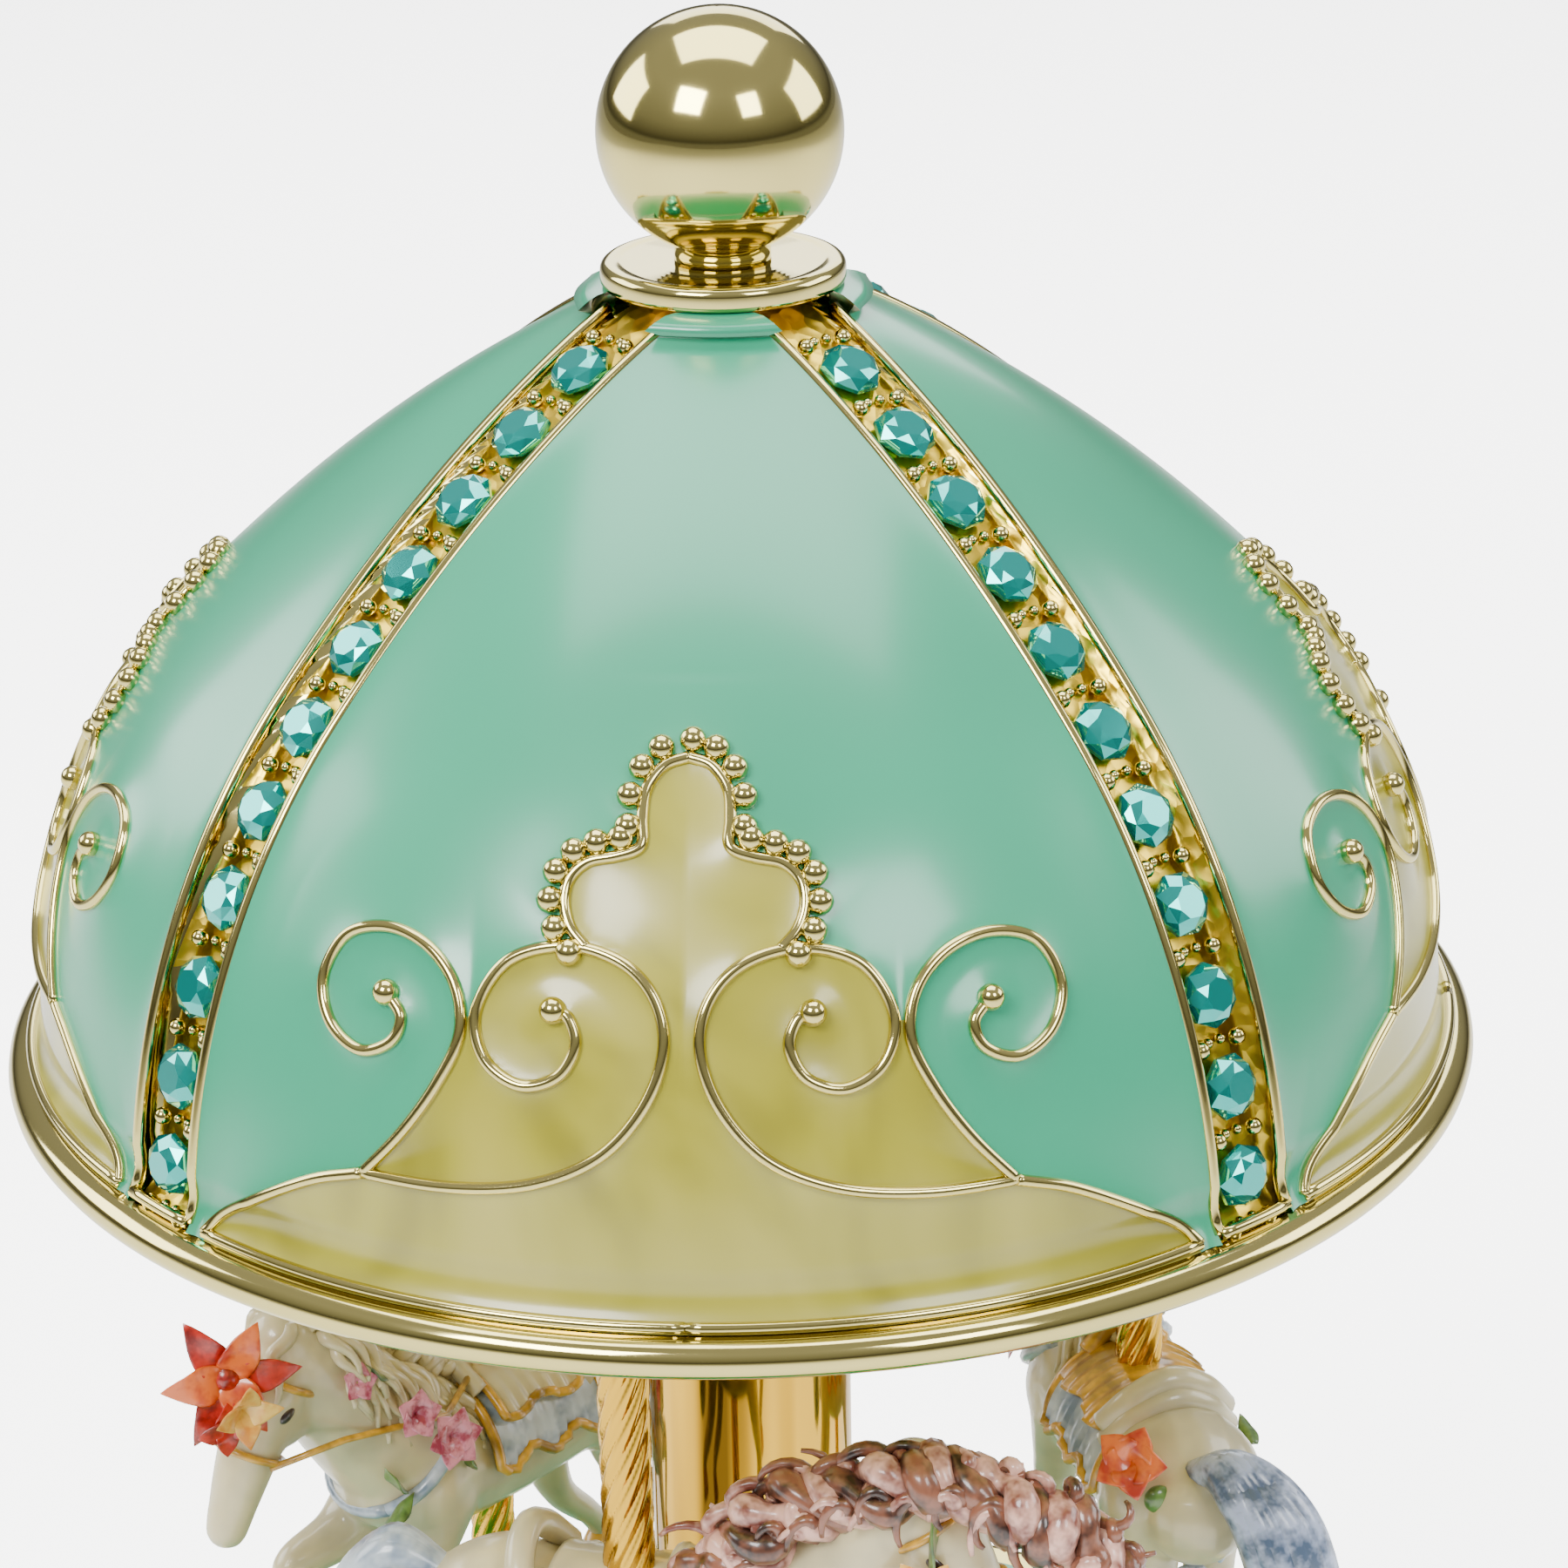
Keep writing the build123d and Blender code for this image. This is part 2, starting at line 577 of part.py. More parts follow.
with BuildPart() as pin_cylinder:
    with BuildSketch(Plane.YZ.offset(CYLINDER_X[0])):
        with Locations((0, AXIS_Z)):
            Circle(CYLINDER_RADIUS)
            Circle(AXLE_RADIUS, mode=Mode.SUBTRACT)
    extrude(amount=CYLINDER_LENGTH)
save(pin_cylinder, "pin_cylinder")

with BuildPart() as cylinder_pins:
    pin_planes = []
    for note in range(NOTES):
        for count in range(PINS_PER_NOTE):
            angle = radians(note * 47 + count * 90 + count * note * 7 + 10)
            outward = (0, cos(angle), sin(angle))
            reach = CYLINDER_RADIUS - PIN_HEIGHT
            along = CYLINDER_X[0] + NOTE_PITCH * (note + 1)
            origin = (along, reach * cos(angle), AXIS_Z + reach * sin(angle))
            pin_planes.append(Plane(origin=origin, x_dir=(1, 0, 0), z_dir=outward))
    with Locations(*pin_planes):
        Cylinder(PIN_RADIUS, 2 * PIN_HEIGHT, align=(Align.CENTER, Align.CENTER, Align.MIN))
save(cylinder_pins, "cylinder_pins")

with BuildPart() as layshaft:
    with BuildSketch(Plane.YZ.offset(BRIDGE_X[0] - 0.2)):
        with Locations((LAY_Y, AXIS_Z)):
            Circle(LAY_AXLE_RADIUS)
    extrude(amount=BRIDGE_X[1] + BRIDGE_THICK + 0.4 - BRIDGE_X[0])
save(layshaft, "layshaft")
save(
    toothed_wheel(
        GEAR_X[0],
        1.2,
        LAY_Y,
        LAY_TEETH,
        LAY_PITCH_RADIUS,
        (0.4, 0.55),
        0.5,
        LAY_AXLE_RADIUS,
        180 - 180 / LAY_TEETH,
    ),
    "layshaft_pinion",
)
save(
    toothed_wheel(
        WHEEL_X - 0.4,
        0.8,
        LAY_Y,
        WHEEL_TEETH,
        WHEEL_PITCH_RADIUS,
        (0.3, 0.4),
        0.34,
        LAY_AXLE_RADIUS,
        0,
    ),
    "worm_wheel",
)

with BuildPart() as worm_thread:
    with BuildLine() as thread_line:
        Helix(WORM_LEAD, WORM_LEAD * THREAD_TURNS, WORM_CORE - 0.05)
    with BuildSketch(Plane(origin=thread_line.line @ 0, x_dir=(1, 0, 0), z_dir=thread_line.line % 0)):
        with Locations((THREAD_HEIGHT / 2, 0)):
            Rectangle(THREAD_HEIGHT, THREAD_THICK)
    sweep(path=thread_line.line, is_frenet=True)
with BuildPart() as worm:
    with Locations((WHEEL_X, WORM_Y, BEDPLATE_LOW + 0.6)):
        shaft_length = GOVERNOR_TOP + 0.4 - BEDPLATE_LOW
        Cylinder(PIVOT_RADIUS, shaft_length, align=(Align.CENTER, Align.CENTER, Align.MIN))
    with Locations((WHEEL_X, WORM_Y, WORM_LOW)):
        Cylinder(WORM_CORE, WORM_HIGH - WORM_LOW, align=(Align.CENTER, Align.CENTER, Align.MIN))
    with Locations((WHEEL_X, WORM_Y, THREAD_LOW)):
        add(worm_thread.part)
save(worm, "worm")

with BuildPart() as fly:
    with BuildSketch(Plane.XY.offset(FLY_LOW)):
        with Locations((WHEEL_X, WORM_Y)):
            Rectangle(5.2, 0.4)
            Circle(0.8)
            Circle(PIVOT_RADIUS, mode=Mode.SUBTRACT)
    extrude(amount=FLY_HIGH - FLY_LOW)
save(fly, "fly")

# ---------------------------------------------------------------- movement: spring drive
with BuildPart() as spring_barrel:
    with BuildSketch(Plane.XY.offset(BARREL_LOW)):
        Circle(BARREL_RADIUS)
    extrude(amount=BARREL_HIGH - BARREL_LOW)
    with BuildSketch(Plane.XY.offset(BARREL_LOW)):
        Circle(BARREL_RADIUS - BARREL_WALL)
    extrude(amount=BARREL_HIGH - BARREL_LOW - 0.7, mode=Mode.SUBTRACT)
    with BuildSketch(Plane.XY.offset(CROWN_ROOT - 0.8)):
        Circle(14.0)
        Circle(BARREL_RADIUS - 0.4, mode=Mode.SUBTRACT)
    extrude(amount=0.8)
    with BuildSketch(Plane.XY.offset(CROWN_ROOT - 0.1)):
        with PolarLocations(CROWN_PITCH_RADIUS, CROWN_TEETH, start_angle=180 / CROWN_TEETH):
            Rectangle(2.5, 0.6)
    extrude(amount=CROWN_PITCH_Z + 0.45 - CROWN_ROOT + 0.1)
save(spring_barrel, "spring_barrel")

with BuildPart() as barrel_cover:
    with BuildSketch(Plane.XY.offset(BARREL_LOW - 0.7)):
        Circle(BARREL_RADIUS)
        Circle(ARBOR_RADIUS + RUNNING_GAP, mode=Mode.SUBTRACT)
    extrude(amount=0.7)
save(barrel_cover, "barrel_cover")

spring_step = (BARREL_RADIUS - BARREL_WALL - SPRING_THICK - SPRING_START) / (SPRING_HALF_TURNS - 1)
with BuildPart() as mainspring:
    with BuildSketch(Plane.XY.offset(BARREL_LOW + 0.3)):
        for half in range(SPRING_HALF_TURNS):
            shift = 0 if half % 2 == 0 else spring_step
            inner = SPRING_START + spring_step * half
            with BuildLine():
                start = 0 if half % 2 == 0 else 180
                low_arc = CenterArc((shift, 0), inner, start, 180)
                high_arc = CenterArc((shift, 0), inner + SPRING_THICK, start, 180)
                Line(low_arc @ 0, high_arc @ 0)
                Line(low_arc @ 1, high_arc @ 1)
            make_face()
    extrude(amount=SPRING_WIDTH)
save(mainspring, "mainspring")

with BuildPart() as drive_spindle:
    with BuildSketch(Plane.XY.offset(BARREL_HIGH)):
        Circle(SPINDLE_RADIUS)
    extrude(amount=PLATFORM_HIGH - BARREL_HIGH)
save(drive_spindle, "drive_spindle")

with BuildPart() as winding_arbor:
    with BuildSketch(Plane.XY.offset(4.0)):
        Circle(KEY_BORE)
    extrude(amount=SHOULDER_Z - 4.0)
    with BuildSketch(Plane.XY.offset(SHOULDER_Z)):
        Circle(ARBOR_RADIUS)
    extrude(amount=BARREL_HIGH - 1.0 - SHOULDER_Z)
save(winding_arbor, "winding_arbor")

with BuildPart() as wrap_spring:
    with BuildSketch(Plane.XZ):
        with Locations((ARBOR_RADIUS + 0.35, BEDPLATE_HIGH + 0.65)):
            Rectangle(0.5, 1.3)
        for turn in range(3):
            with Locations((ARBOR_RADIUS + 0.45, BEDPLATE_HIGH + 0.25 + 0.42 * turn)):
                Circle(0.25)
    revolve(axis=Axis.Z)
save(wrap_spring, "wrap_spring")

with BuildPart() as winding_key:
    with BuildSketch(Plane.XY.offset(4.4)):
        Circle(2.8)
        Circle(KEY_BORE, mode=Mode.SUBTRACT)
    extrude(amount=3.8)
    with BuildSketch(Plane.XZ.offset(-0.8)):
        with Locations((0, KEY_LOW + KEY_HEIGHT / 2)):
            SlotOverall(KEY_SPAN, KEY_HEIGHT)
        with Locations((-7.5, KEY_LOW + KEY_HEIGHT / 2), (7.5, KEY_LOW + KEY_HEIGHT / 2)):
            Circle(1.6, mode=Mode.SUBTRACT)
        with Locations((0, 6.4)):
            Rectangle(3.0, 4.8, mode=Mode.SUBTRACT)
    extrude(amount=1.6)
save(winding_key, "winding_key")

with BuildPart() as spindle_bushing:
    with BuildSketch(Plane.XY.offset(DECK_LOW)):
        Circle(BUSHING_RADIUS)
    extrude(amount=WASHER_TOP - DECK_LOW)
    with BuildSketch(Plane.XY.offset(DECK_HIGH)):
        Circle(FLANGE_RADIUS)
    extrude(amount=WASHER_TOP - DECK_HIGH)
    with BuildSketch(Plane.XY.offset(DECK_LOW)):
        Circle(SPINDLE_RADIUS + RUNNING_GAP)
    extrude(amount=WASHER_TOP - DECK_LOW, mode=Mode.SUBTRACT)
save(spindle_bushing, "spindle_bushing")

# ---------------------------------------------------------------- turntable and column


def pole_point(angle):
    """Centre of a pole; the angle is measured from the front, towards +X."""
    return (POLE_CIRCLE * sin(radians(angle)), -POLE_CIRCLE * cos(radians(angle)))


pole_points = [pole_point(angle) for angle in POLE_ANGLES.values()]
with BuildPart() as platform:
    with BuildSketch(Plane.XY.offset(PLATFORM_LOW)):
        Circle(PLATFORM_RADIUS)
    extrude(amount=PLATFORM_HIGH - PLATFORM_LOW)
    fillet(platform.faces().sort_by(Axis.Z)[-1].edges(), radius=1.2)
    with BuildSketch(Plane.XY.offset(PLATFORM_HIGH - TRAY_DEPTH)):
        Circle(PLATFORM_RADIUS - TRAY_RIM)
        Circle(FLANGE_RADIUS, mode=Mode.SUBTRACT)
    extrude(amount=TRAY_DEPTH, mode=Mode.SUBTRACT)
    with BuildSketch(Plane.XY.offset(PLATFORM_LOW)):
        Circle(SPINDLE_RADIUS)
    extrude(amount=PLATFORM_HIGH - PLATFORM_LOW, mode=Mode.SUBTRACT)
    with BuildSketch(Plane.XY.offset(PLATFORM_HIGH - SOCKET_DEPTH)):
        with Locations(*pole_points):
            Circle(POLE_RADIUS)
    extrude(amount=SOCKET_DEPTH, mode=Mode.SUBTRACT)
save(platform, "platform")

with BuildPart() as platform_enamel:
    with BuildSketch(Plane.XY.offset(PLATFORM_HIGH - TRAY_DEPTH)):
        Circle(PLATFORM_RADIUS - TRAY_RIM)
        Circle(FLANGE_RADIUS, mode=Mode.SUBTRACT)
        with Locations(*pole_points):
            Circle(POLE_RADIUS, mode=Mode.SUBTRACT)
    extrude(amount=TRAY_DEPTH)
save(platform_enamel, "platform_enamel")

with BuildPart() as column_tube:
    with BuildSketch(Plane.XY.offset(COLUMN_LOW)):
        Circle(COLUMN_RADIUS)
        Circle(COLUMN_RADIUS - TUBE_WALL, mode=Mode.SUBTRACT)
    extrude(amount=COLUMN_TOP - COLUMN_LOW)
save(column_tube, "column_tube")

for name, start, sign in (("column_foot", COLUMN_LOW, 1), ("column_capital", COLUMN_TOP, -1)):
    with BuildPart() as collar:
        with BuildSketch(Plane.XZ):
            with BuildLine():
                Polyline(
                    (COLUMN_RADIUS, start + sign * FOOT_HEIGHT),
                    (COLUMN_RADIUS, start),
                    (COLUMN_RADIUS + FOOT_REACH, start),
                    (COLUMN_RADIUS + FOOT_REACH, start + sign * 1.4),
                )
                ThreePointArc(
                    (COLUMN_RADIUS + FOOT_REACH, start + sign * 1.4),
                    (COLUMN_RADIUS + 1.3, start + sign * 2.4),
                    (COLUMN_RADIUS + 0.8, start + sign * FOOT_HEIGHT),
                )
                tip = start + sign * FOOT_HEIGHT
                Line((COLUMN_RADIUS + 0.8, tip), (COLUMN_RADIUS, tip))
            make_face()
        revolve(axis=Axis.Z)
    save(collar, name)

with BuildPart() as tie_rod:
    with BuildSketch(Plane.XY.offset(PLATFORM_HIGH)):
        Circle(ROD_RADIUS)
    extrude(amount=ROD_TOP - PLATFORM_HIGH)
save(tie_rod, "tie_rod")

for name, angle in POLE_ANGLES.items():
    point = pole_point(angle)
    with BuildPart() as pole:
        with Locations((*point, PLATFORM_HIGH - SOCKET_DEPTH)):
            Cylinder(
                POLE_RADIUS,
                COLUMN_TOP - PLATFORM_HIGH + SOCKET_DEPTH,
                align=(Align.CENTER, Align.CENTER, Align.MIN),
            )
        with Locations((*point, COLUMN_TOP)):
            Cylinder(STUD_RADIUS, STUD_LENGTH, align=(Align.CENTER, Align.CENTER, Align.MIN))
    save(pole, f"pole_{name}")
with BuildPart() as pole_nuts:
    with BuildSketch(Plane.XY.offset(RIM_Z + CEILING_HIGH)):
        with Locations(*pole_points):
            RegularPolygon(NUT_RADIUS, 6)
            Circle(STUD_RADIUS, mode=Mode.SUBTRACT)
    extrude(amount=NUT_HEIGHT)
save(pole_nuts, "pole_nuts")

# ---------------------------------------------------------------- horses

def horse_parts(point, heading, height):
    """A prancing horse on its pole, as one closed solid."""
    frame = Plane(origin=(*point, height), x_dir=(cos(radians(heading)), sin(radians(heading)), 0))

    def spot(x, y, z):
        return frame.from_local_coords(Vector(x, y, z))

    def bone(start, end, start_radius, end_radius):
        first = spot(*start)
        last = spot(*end)
        span = last - first
        with Locations(Plane(origin=first, z_dir=span)):
            Cone(start_radius, end_radius, span.length, align=(Align.CENTER, Align.CENTER, Align.MIN))
        with Locations(last):
            Sphere(end_radius)

    with BuildPart() as horse:
        with Locations(spot(-6.5, 0, 0.8)):
            Sphere(4.3)
        bone((-6.5, 0, 0.8), (0, 0, -0.2), 4.3, 3.9)
        bone((0, 0, -0.2), (5.5, 0, 0.2), 3.9, 4.2)
        bone((6.5, 0, 1.5), (11.5, 0, 7.0), 3.7, 2.9)
        bone((11.5, 0, 7.0), (14.2, 0, 11.0), 2.85, 2.3)
        bone((14.2, 0, 11.0), (17.6, 0, 5.2), 2.25, 1.9)
        bone((17.6, 0, 5.2), (19.0, 0, 1.8), 1.85, 1.35)
        for ear in (-1.0, 1.0):
            bone((13.6, ear, 12.4), (13.3, ear * 1.3, 14.4), 0.8, 0.25)
        for pair, legs in HORSE_LEGS.items():
            for side, (hip, knee, hoof) in zip((-LEG_SPREAD, LEG_SPREAD), legs):
                thick = THIGH_RADIUS[pair]
                bone((hip[0], side, hip[1]), (knee[0], side, knee[1]), thick, 1.05)
                bone((knee[0], side, knee[1]), (hoof[0], side, hoof[1]), 1.0, 0.8)
                bone((hoof[0], side, hoof[1]), (hoof[0] + 0.9, side, hoof[1] - 1.4), 0.85, 1.05)
        bone((-10.0, 0, 2.8), (-14.2, 0, 1.6), 1.1, 1.7)
        bone((-14.2, 0, 1.6), (-15.8, 0, -6.0), 1.7, 0.6)
        with Locations((*point, height)):
            Cylinder(POLE_RADIUS, 30, mode=Mode.SUBTRACT)
    return horse


for name, angle in POLE_ANGLES.items():
    save(horse_parts(pole_point(angle), angle, HORSE_HEIGHTS[name]), f"horse_{name}")

# ---------------------------------------------------------------- canopy
finished = dome_solid(0)
enamel_bed = dome_solid(ENAMEL_DEPTH)
hollow = dome_solid(SHELL_DEPTH, -1.0)
channel_low = RIM_Z + BAND_TOP
channel_high = RIM_Z + COLLAR_SEAT
with BuildPart() as rib_channels:
    add(crossed_bars(CHANNEL_WIDTH, channel_low, channel_high).part)
    add(dome_solid(CHANNEL_DEPTH).part, mode=Mode.SUBTRACT)

with BuildPart() as canopy_shell:
    add(enamel_bed.part)
    add(rib_channels.part, mode=Mode.SUBTRACT)
    # rim band
    with BuildSketch(Plane.XZ):
        with Locations((RIM_RADIUS - 1.5, RIM_Z + BAND_TOP / 2)):
            RectangleRounded(3.0, BAND_TOP, 0.5)
    revolve(axis=Axis.Z)
    add(hollow.part, mode=Mode.SUBTRACT)
    # flat seat for the collar
    with BuildSketch(Plane.XY.offset(RIM_Z + COLLAR_SEAT - SEAT_THICK)):
        Circle(SEAT_RADIUS)
    extrude(amount=SEAT_THICK)
    with BuildSketch(Plane.XY.offset(RIM_Z + COLLAR_SEAT)):
        Circle(20)
    extrude(amount=5, mode=Mode.SUBTRACT)
    with BuildSketch(Plane.XY.offset(RIM_Z + COLLAR_SEAT - 6)):
        Circle(ROD_RADIUS)
    extrude(amount=8, mode=Mode.SUBTRACT)
save(canopy_shell, "canopy_shell")

with BuildPart() as canopy_skin:
    add(finished.part)
    add(enamel_bed.part, mode=Mode.SUBTRACT)
    rail_outer = CHANNEL_WIDTH + 2 * RAIL_WIDTH
    add(crossed_bars(rail_outer, RIM_Z - 1, RIM_Z + 45).part, mode=Mode.SUBTRACT)
    with BuildSketch(Plane.XY.offset(RIM_Z - 1)):
        Circle(45)
    extrude(amount=BAND_TOP + 1, mode=Mode.SUBTRACT)
    with BuildSketch(Plane.XY.offset(RIM_Z + 30)):
        Circle(SEAT_RADIUS)
    extrude(amount=15, mode=Mode.SUBTRACT)
with BuildPart() as front_skin:
    add(canopy_skin.part)
    with BuildSketch(Plane.XY.offset(RIM_Z - 1)):
        Polygon((0, 0), (-60, -60), (60, -60), align=None)
    extrude(amount=50, mode=Mode.INTERSECT)


def scroll_curves():
    """Wires of the right half: trefoil, inner scroll, outer scroll and the long lower edge."""
    lobe_side = (LOBE_RADIUS, 22.3)
    ThreePointArc((0, LOBE_CENTRE[1] + LOBE_RADIUS), (1.4, 24.8), (LOBE_RADIUS, LOBE_CENTRE[1]))
    Line((LOBE_RADIUS, LOBE_CENTRE[1]), lobe_side)
    ThreePointArc(lobe_side, (5.28, 20.3), (4.5, 18.7))
    Spline(SCROLL_CORNER, (6.7, 8.6), (1.7, 12.0), (1.0, 15.0), (5.46, 18.5), (9.28, 15.25), (6.6, 12.9))
    Spline((6.6, 12.9), (4.7, 14.9), (5.8, 16.0))
    Spline(SCROLL_CORNER, (11.2, 12.15), (9.85, 15.35), (13.4, 18.1), (16.5, 15.2), (14.5, 13.2))
    Spline((14.5, 13.2), (12.5, 14.4), (13.6, 15.7))
    Spline(SCROLL_CORNER, (19.0, 5.2), BOAT_TIP)


with BuildSketch(Plane.XZ.offset(0)) as scroll_wires:
    with Locations((0, RIM_Z)):
        with BuildSketch(mode=Mode.PRIVATE) as half_wires:
            with BuildLine():
                scroll_curves()
            trace(line_width=WIRE_WIDTH)
        add(half_wires.sketch)
        add(half_wires.sketch.mirror(Plane.YZ))
    with Locations((0, RIM_Z + BAND_TOP + 0.15)):
        Rectangle(2 * BOAT_TIP[0], 0.3)

with BuildSketch(Plane.XZ) as cream_area:
    with Locations((0, RIM_Z)):
        with BuildSketch(mode=Mode.PRIVATE) as half_cream:
            with BuildLine():
                lobe_side = (LOBE_RADIUS, 22.3)
                Line((0, BAND_TOP), (0, LOBE_CENTRE[1] + LOBE_RADIUS))
                ThreePointArc((0, LOBE_CENTRE[1] + LOBE_RADIUS), (1.4, 24.8), (LOBE_RADIUS, LOBE_CENTRE[1]))
                Line((LOBE_RADIUS, LOBE_CENTRE[1]), lobe_side)
                ThreePointArc(lobe_side, (5.28, 20.3), (4.5, 18.7))
                ThreePointArc((4.5, 18.7), (7.9, 18.0), (9.5, 15.35))
                Spline((9.5, 15.35), (11.2, 12.15), SCROLL_CORNER)
                Spline(SCROLL_CORNER, (19.0, 5.2), BOAT_TIP)
                Polyline(BOAT_TIP, (BOAT_TIP[0], BAND_TOP), (0, BAND_TOP))
            make_face()
        add(half_cream.sketch)
        add(half_cream.sketch.mirror(Plane.YZ))

with BuildPart() as front_cream:
    extrude(cream_area.sketch, amount=PUNCH, dir=FRONT)
    extrude(scroll_wires.sketch, amount=PUNCH, dir=FRONT, mode=Mode.SUBTRACT)
    add(front_skin.part, mode=Mode.INTERSECT)
save(repeat_four(front_cream), "cream_panels")
with BuildPart() as front_mint:
    add(front_skin.part)
    extrude(cream_area.sketch, amount=PUNCH, dir=FRONT, mode=Mode.SUBTRACT)
    extrude(scroll_wires.sketch, amount=PUNCH, dir=FRONT, mode=Mode.SUBTRACT)
save(repeat_four(front_mint), "mint_panels")
with BuildPart() as front_scroll:
    extrude(scroll_wires.sketch, amount=PUNCH, dir=FRONT)
    add(dome_solid(-WIRE_HEIGHT).part, mode=Mode.INTERSECT)
    add(enamel_bed.part, mode=Mode.SUBTRACT)
save(repeat_four(front_scroll), "canopy_scrollwork")

with BuildPart() as rib_rails:
    add(crossed_bars(rail_outer, channel_low, channel_high - 0.8).part)
    add(crossed_bars(CHANNEL_WIDTH, RIM_Z, RIM_Z + 45).part, mode=Mode.SUBTRACT)
    add(dome_solid(-WIRE_HEIGHT).part, mode=Mode.INTERSECT)
    add(enamel_bed.part, mode=Mode.SUBTRACT)
    with BuildSketch(Plane.XY.offset(RIM_Z + COLLAR_SEAT - SEAT_THICK)):
        Circle(SEAT_RADIUS)
    extrude(amount=5, mode=Mode.SUBTRACT)
save(rib_rails, "rib_rails")

bead_planes = []
for quarter in range(4):
    turn = radians(90 * quarter)
    spots = [(0.0, LOBE_CENTRE[1], LOBE_BEAD_RING, -15 + 26.25 * count) for count in range(9)]
    spots += [(SIDE_LOBE[0], SIDE_LOBE[1], SIDE_BEAD_RING, -35 + 27 * count) for count in range(5)]
    spots += [(-SIDE_LOBE[0], SIDE_LOBE[1], SIDE_BEAD_RING, 107 + 27 * count) for count in range(5)]
    for centre_x, centre_z, ring, angle in spots:
        x = centre_x + ring * cos(radians(angle))
        z = centre_z + ring * sin(radians(angle))
        y = -sqrt(dome_radius(z) ** 2 - x**2)
        spot_x = x * cos(turn) - y * sin(turn)
        spot_y = x * sin(turn) + y * cos(turn)
        bead_planes.append(Plane(origin=(spot_x, spot_y, RIM_Z + z)))
save(bead_set(bead_planes, BEAD_RADIUS), "canopy_beads")


def rib_height(distance, depth):
    """Height above the rim at a distance along the rib's arc from the waist, and the slope there."""
    angle = radians(WAIST_ANGLE) + distance / (SHOULDER_RADIUS - depth)
    join = radians(JOIN_ANGLE)
    if angle <= join:
        return SHOULDER_CENTRE[1] + (SHOULDER_RADIUS - depth) * sin(angle), angle
    angle = join + (angle - join) * (SHOULDER_RADIUS - depth) / (CROWN_RADIUS - depth)
    shift = (CROWN_RADIUS - SHOULDER_RADIUS) * sin(join)
    return SHOULDER_CENTRE[1] - shift + (CROWN_RADIUS - depth) * sin(angle), angle


stone_planes = []
prong_planes = []
for quarter in range(4):
    around = radians(45 + 90 * quarter)
    for row in range(CANOPY_STONES):
        seat = CHANNEL_DEPTH - STONE_SEAT
        z, rise = rib_height(FIRST_STONE + row * STONE_PITCH, seat)
        reach = dome_radius(z, seat)
        stone_planes.append(tilt_plane(reach * cos(around), reach * sin(around), RIM_Z + z, rise))
        seat = CHANNEL_DEPTH - PRONG_SEAT
        z, rise = rib_height(FIRST_STONE + (row + 0.5) * STONE_PITCH, seat)
        reach = dome_radius(z, seat)
        for side in (-1.1, 1.1):
            x = reach * cos(around) - side * sin(around)
            y = reach * sin(around) + side * cos(around)
            prong_planes.append(Plane(origin=(x, y, RIM_Z + z)))
save(stone_set(stone_planes), "canopy_stones")
save(bead_set(prong_planes, PRONG_RADIUS), "stone_prongs")

with BuildPart() as canopy_ceiling:
    with BuildSketch(Plane.XY.offset(RIM_Z + CEILING_LOW)):
        Circle(RIM_RADIUS)
        Circle(ROD_RADIUS, mode=Mode.SUBTRACT)
        with Locations(*pole_points):
            Circle(STUD_RADIUS, mode=Mode.SUBTRACT)
    extrude(amount=CEILING_HIGH - CEILING_LOW)
    add(hollow.part, mode=Mode.INTERSECT)
save(canopy_ceiling, "canopy_ceiling")

with BuildPart() as finial_washer:
    with BuildSketch(Plane.XY.offset(RIM_Z + COLLAR_SEAT)):
        Circle(COLLAR_RADIUS)
        Circle(ROD_RADIUS, mode=Mode.SUBTRACT)
    extrude(amount=COLLAR_TOP - COLLAR_SEAT)
    fillet(finial_washer.faces().sort_by(Axis.Z)[-1].outer_wire().edges(), radius=0.4)
save(finial_washer, "finial_washer")

with BuildPart() as finial_ball:
    with Locations((0, 0, RIM_Z + BALL_CENTRE)):
        Sphere(BALL_RADIUS)
    with BuildSketch(Plane.XY.offset(RIM_Z + COLLAR_TOP)):
        Circle(BALL_RADIUS)
    extrude(amount=-1, mode=Mode.SUBTRACT)
    with BuildSketch(Plane.XY.offset(RIM_Z + COLLAR_TOP)):
        Circle(NECK_RADIUS)
    extrude(amount=BALL_CENTRE - COLLAR_TOP)
    with BuildSketch(Plane.XY.offset(RIM_Z + COLLAR_TOP)):
        Circle(ROD_RADIUS)
    extrude(amount=ROD_TOP - RIM_Z - COLLAR_TOP, mode=Mode.SUBTRACT)
save(finial_ball, "finial_ball")
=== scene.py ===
"""Looks of the carousel music box, laid out as an add-on: enamelled canopy, jewelled ribs, horses and base."""
import math

import bpy
import numpy as np
from mathutils import Matrix, Vector
from mathutils.kdtree import KDTree


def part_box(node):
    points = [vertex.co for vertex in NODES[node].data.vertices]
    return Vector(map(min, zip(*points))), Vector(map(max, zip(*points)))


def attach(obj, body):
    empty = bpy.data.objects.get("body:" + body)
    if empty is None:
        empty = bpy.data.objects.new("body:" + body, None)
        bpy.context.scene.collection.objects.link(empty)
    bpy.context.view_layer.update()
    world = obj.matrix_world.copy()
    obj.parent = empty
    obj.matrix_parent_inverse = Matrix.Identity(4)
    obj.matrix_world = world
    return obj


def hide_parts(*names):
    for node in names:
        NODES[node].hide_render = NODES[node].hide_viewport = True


bl_info = {
    "name": "Carousel music box",
    "version": (1, 0, 0),
    "blender": (4, 5, 0),
    "location": "3D View > Sidebar > Carousel",
    "description": "Builds the enamelled canopy, horses, poles and base of a carousel music box",
    "category": "Object",
}

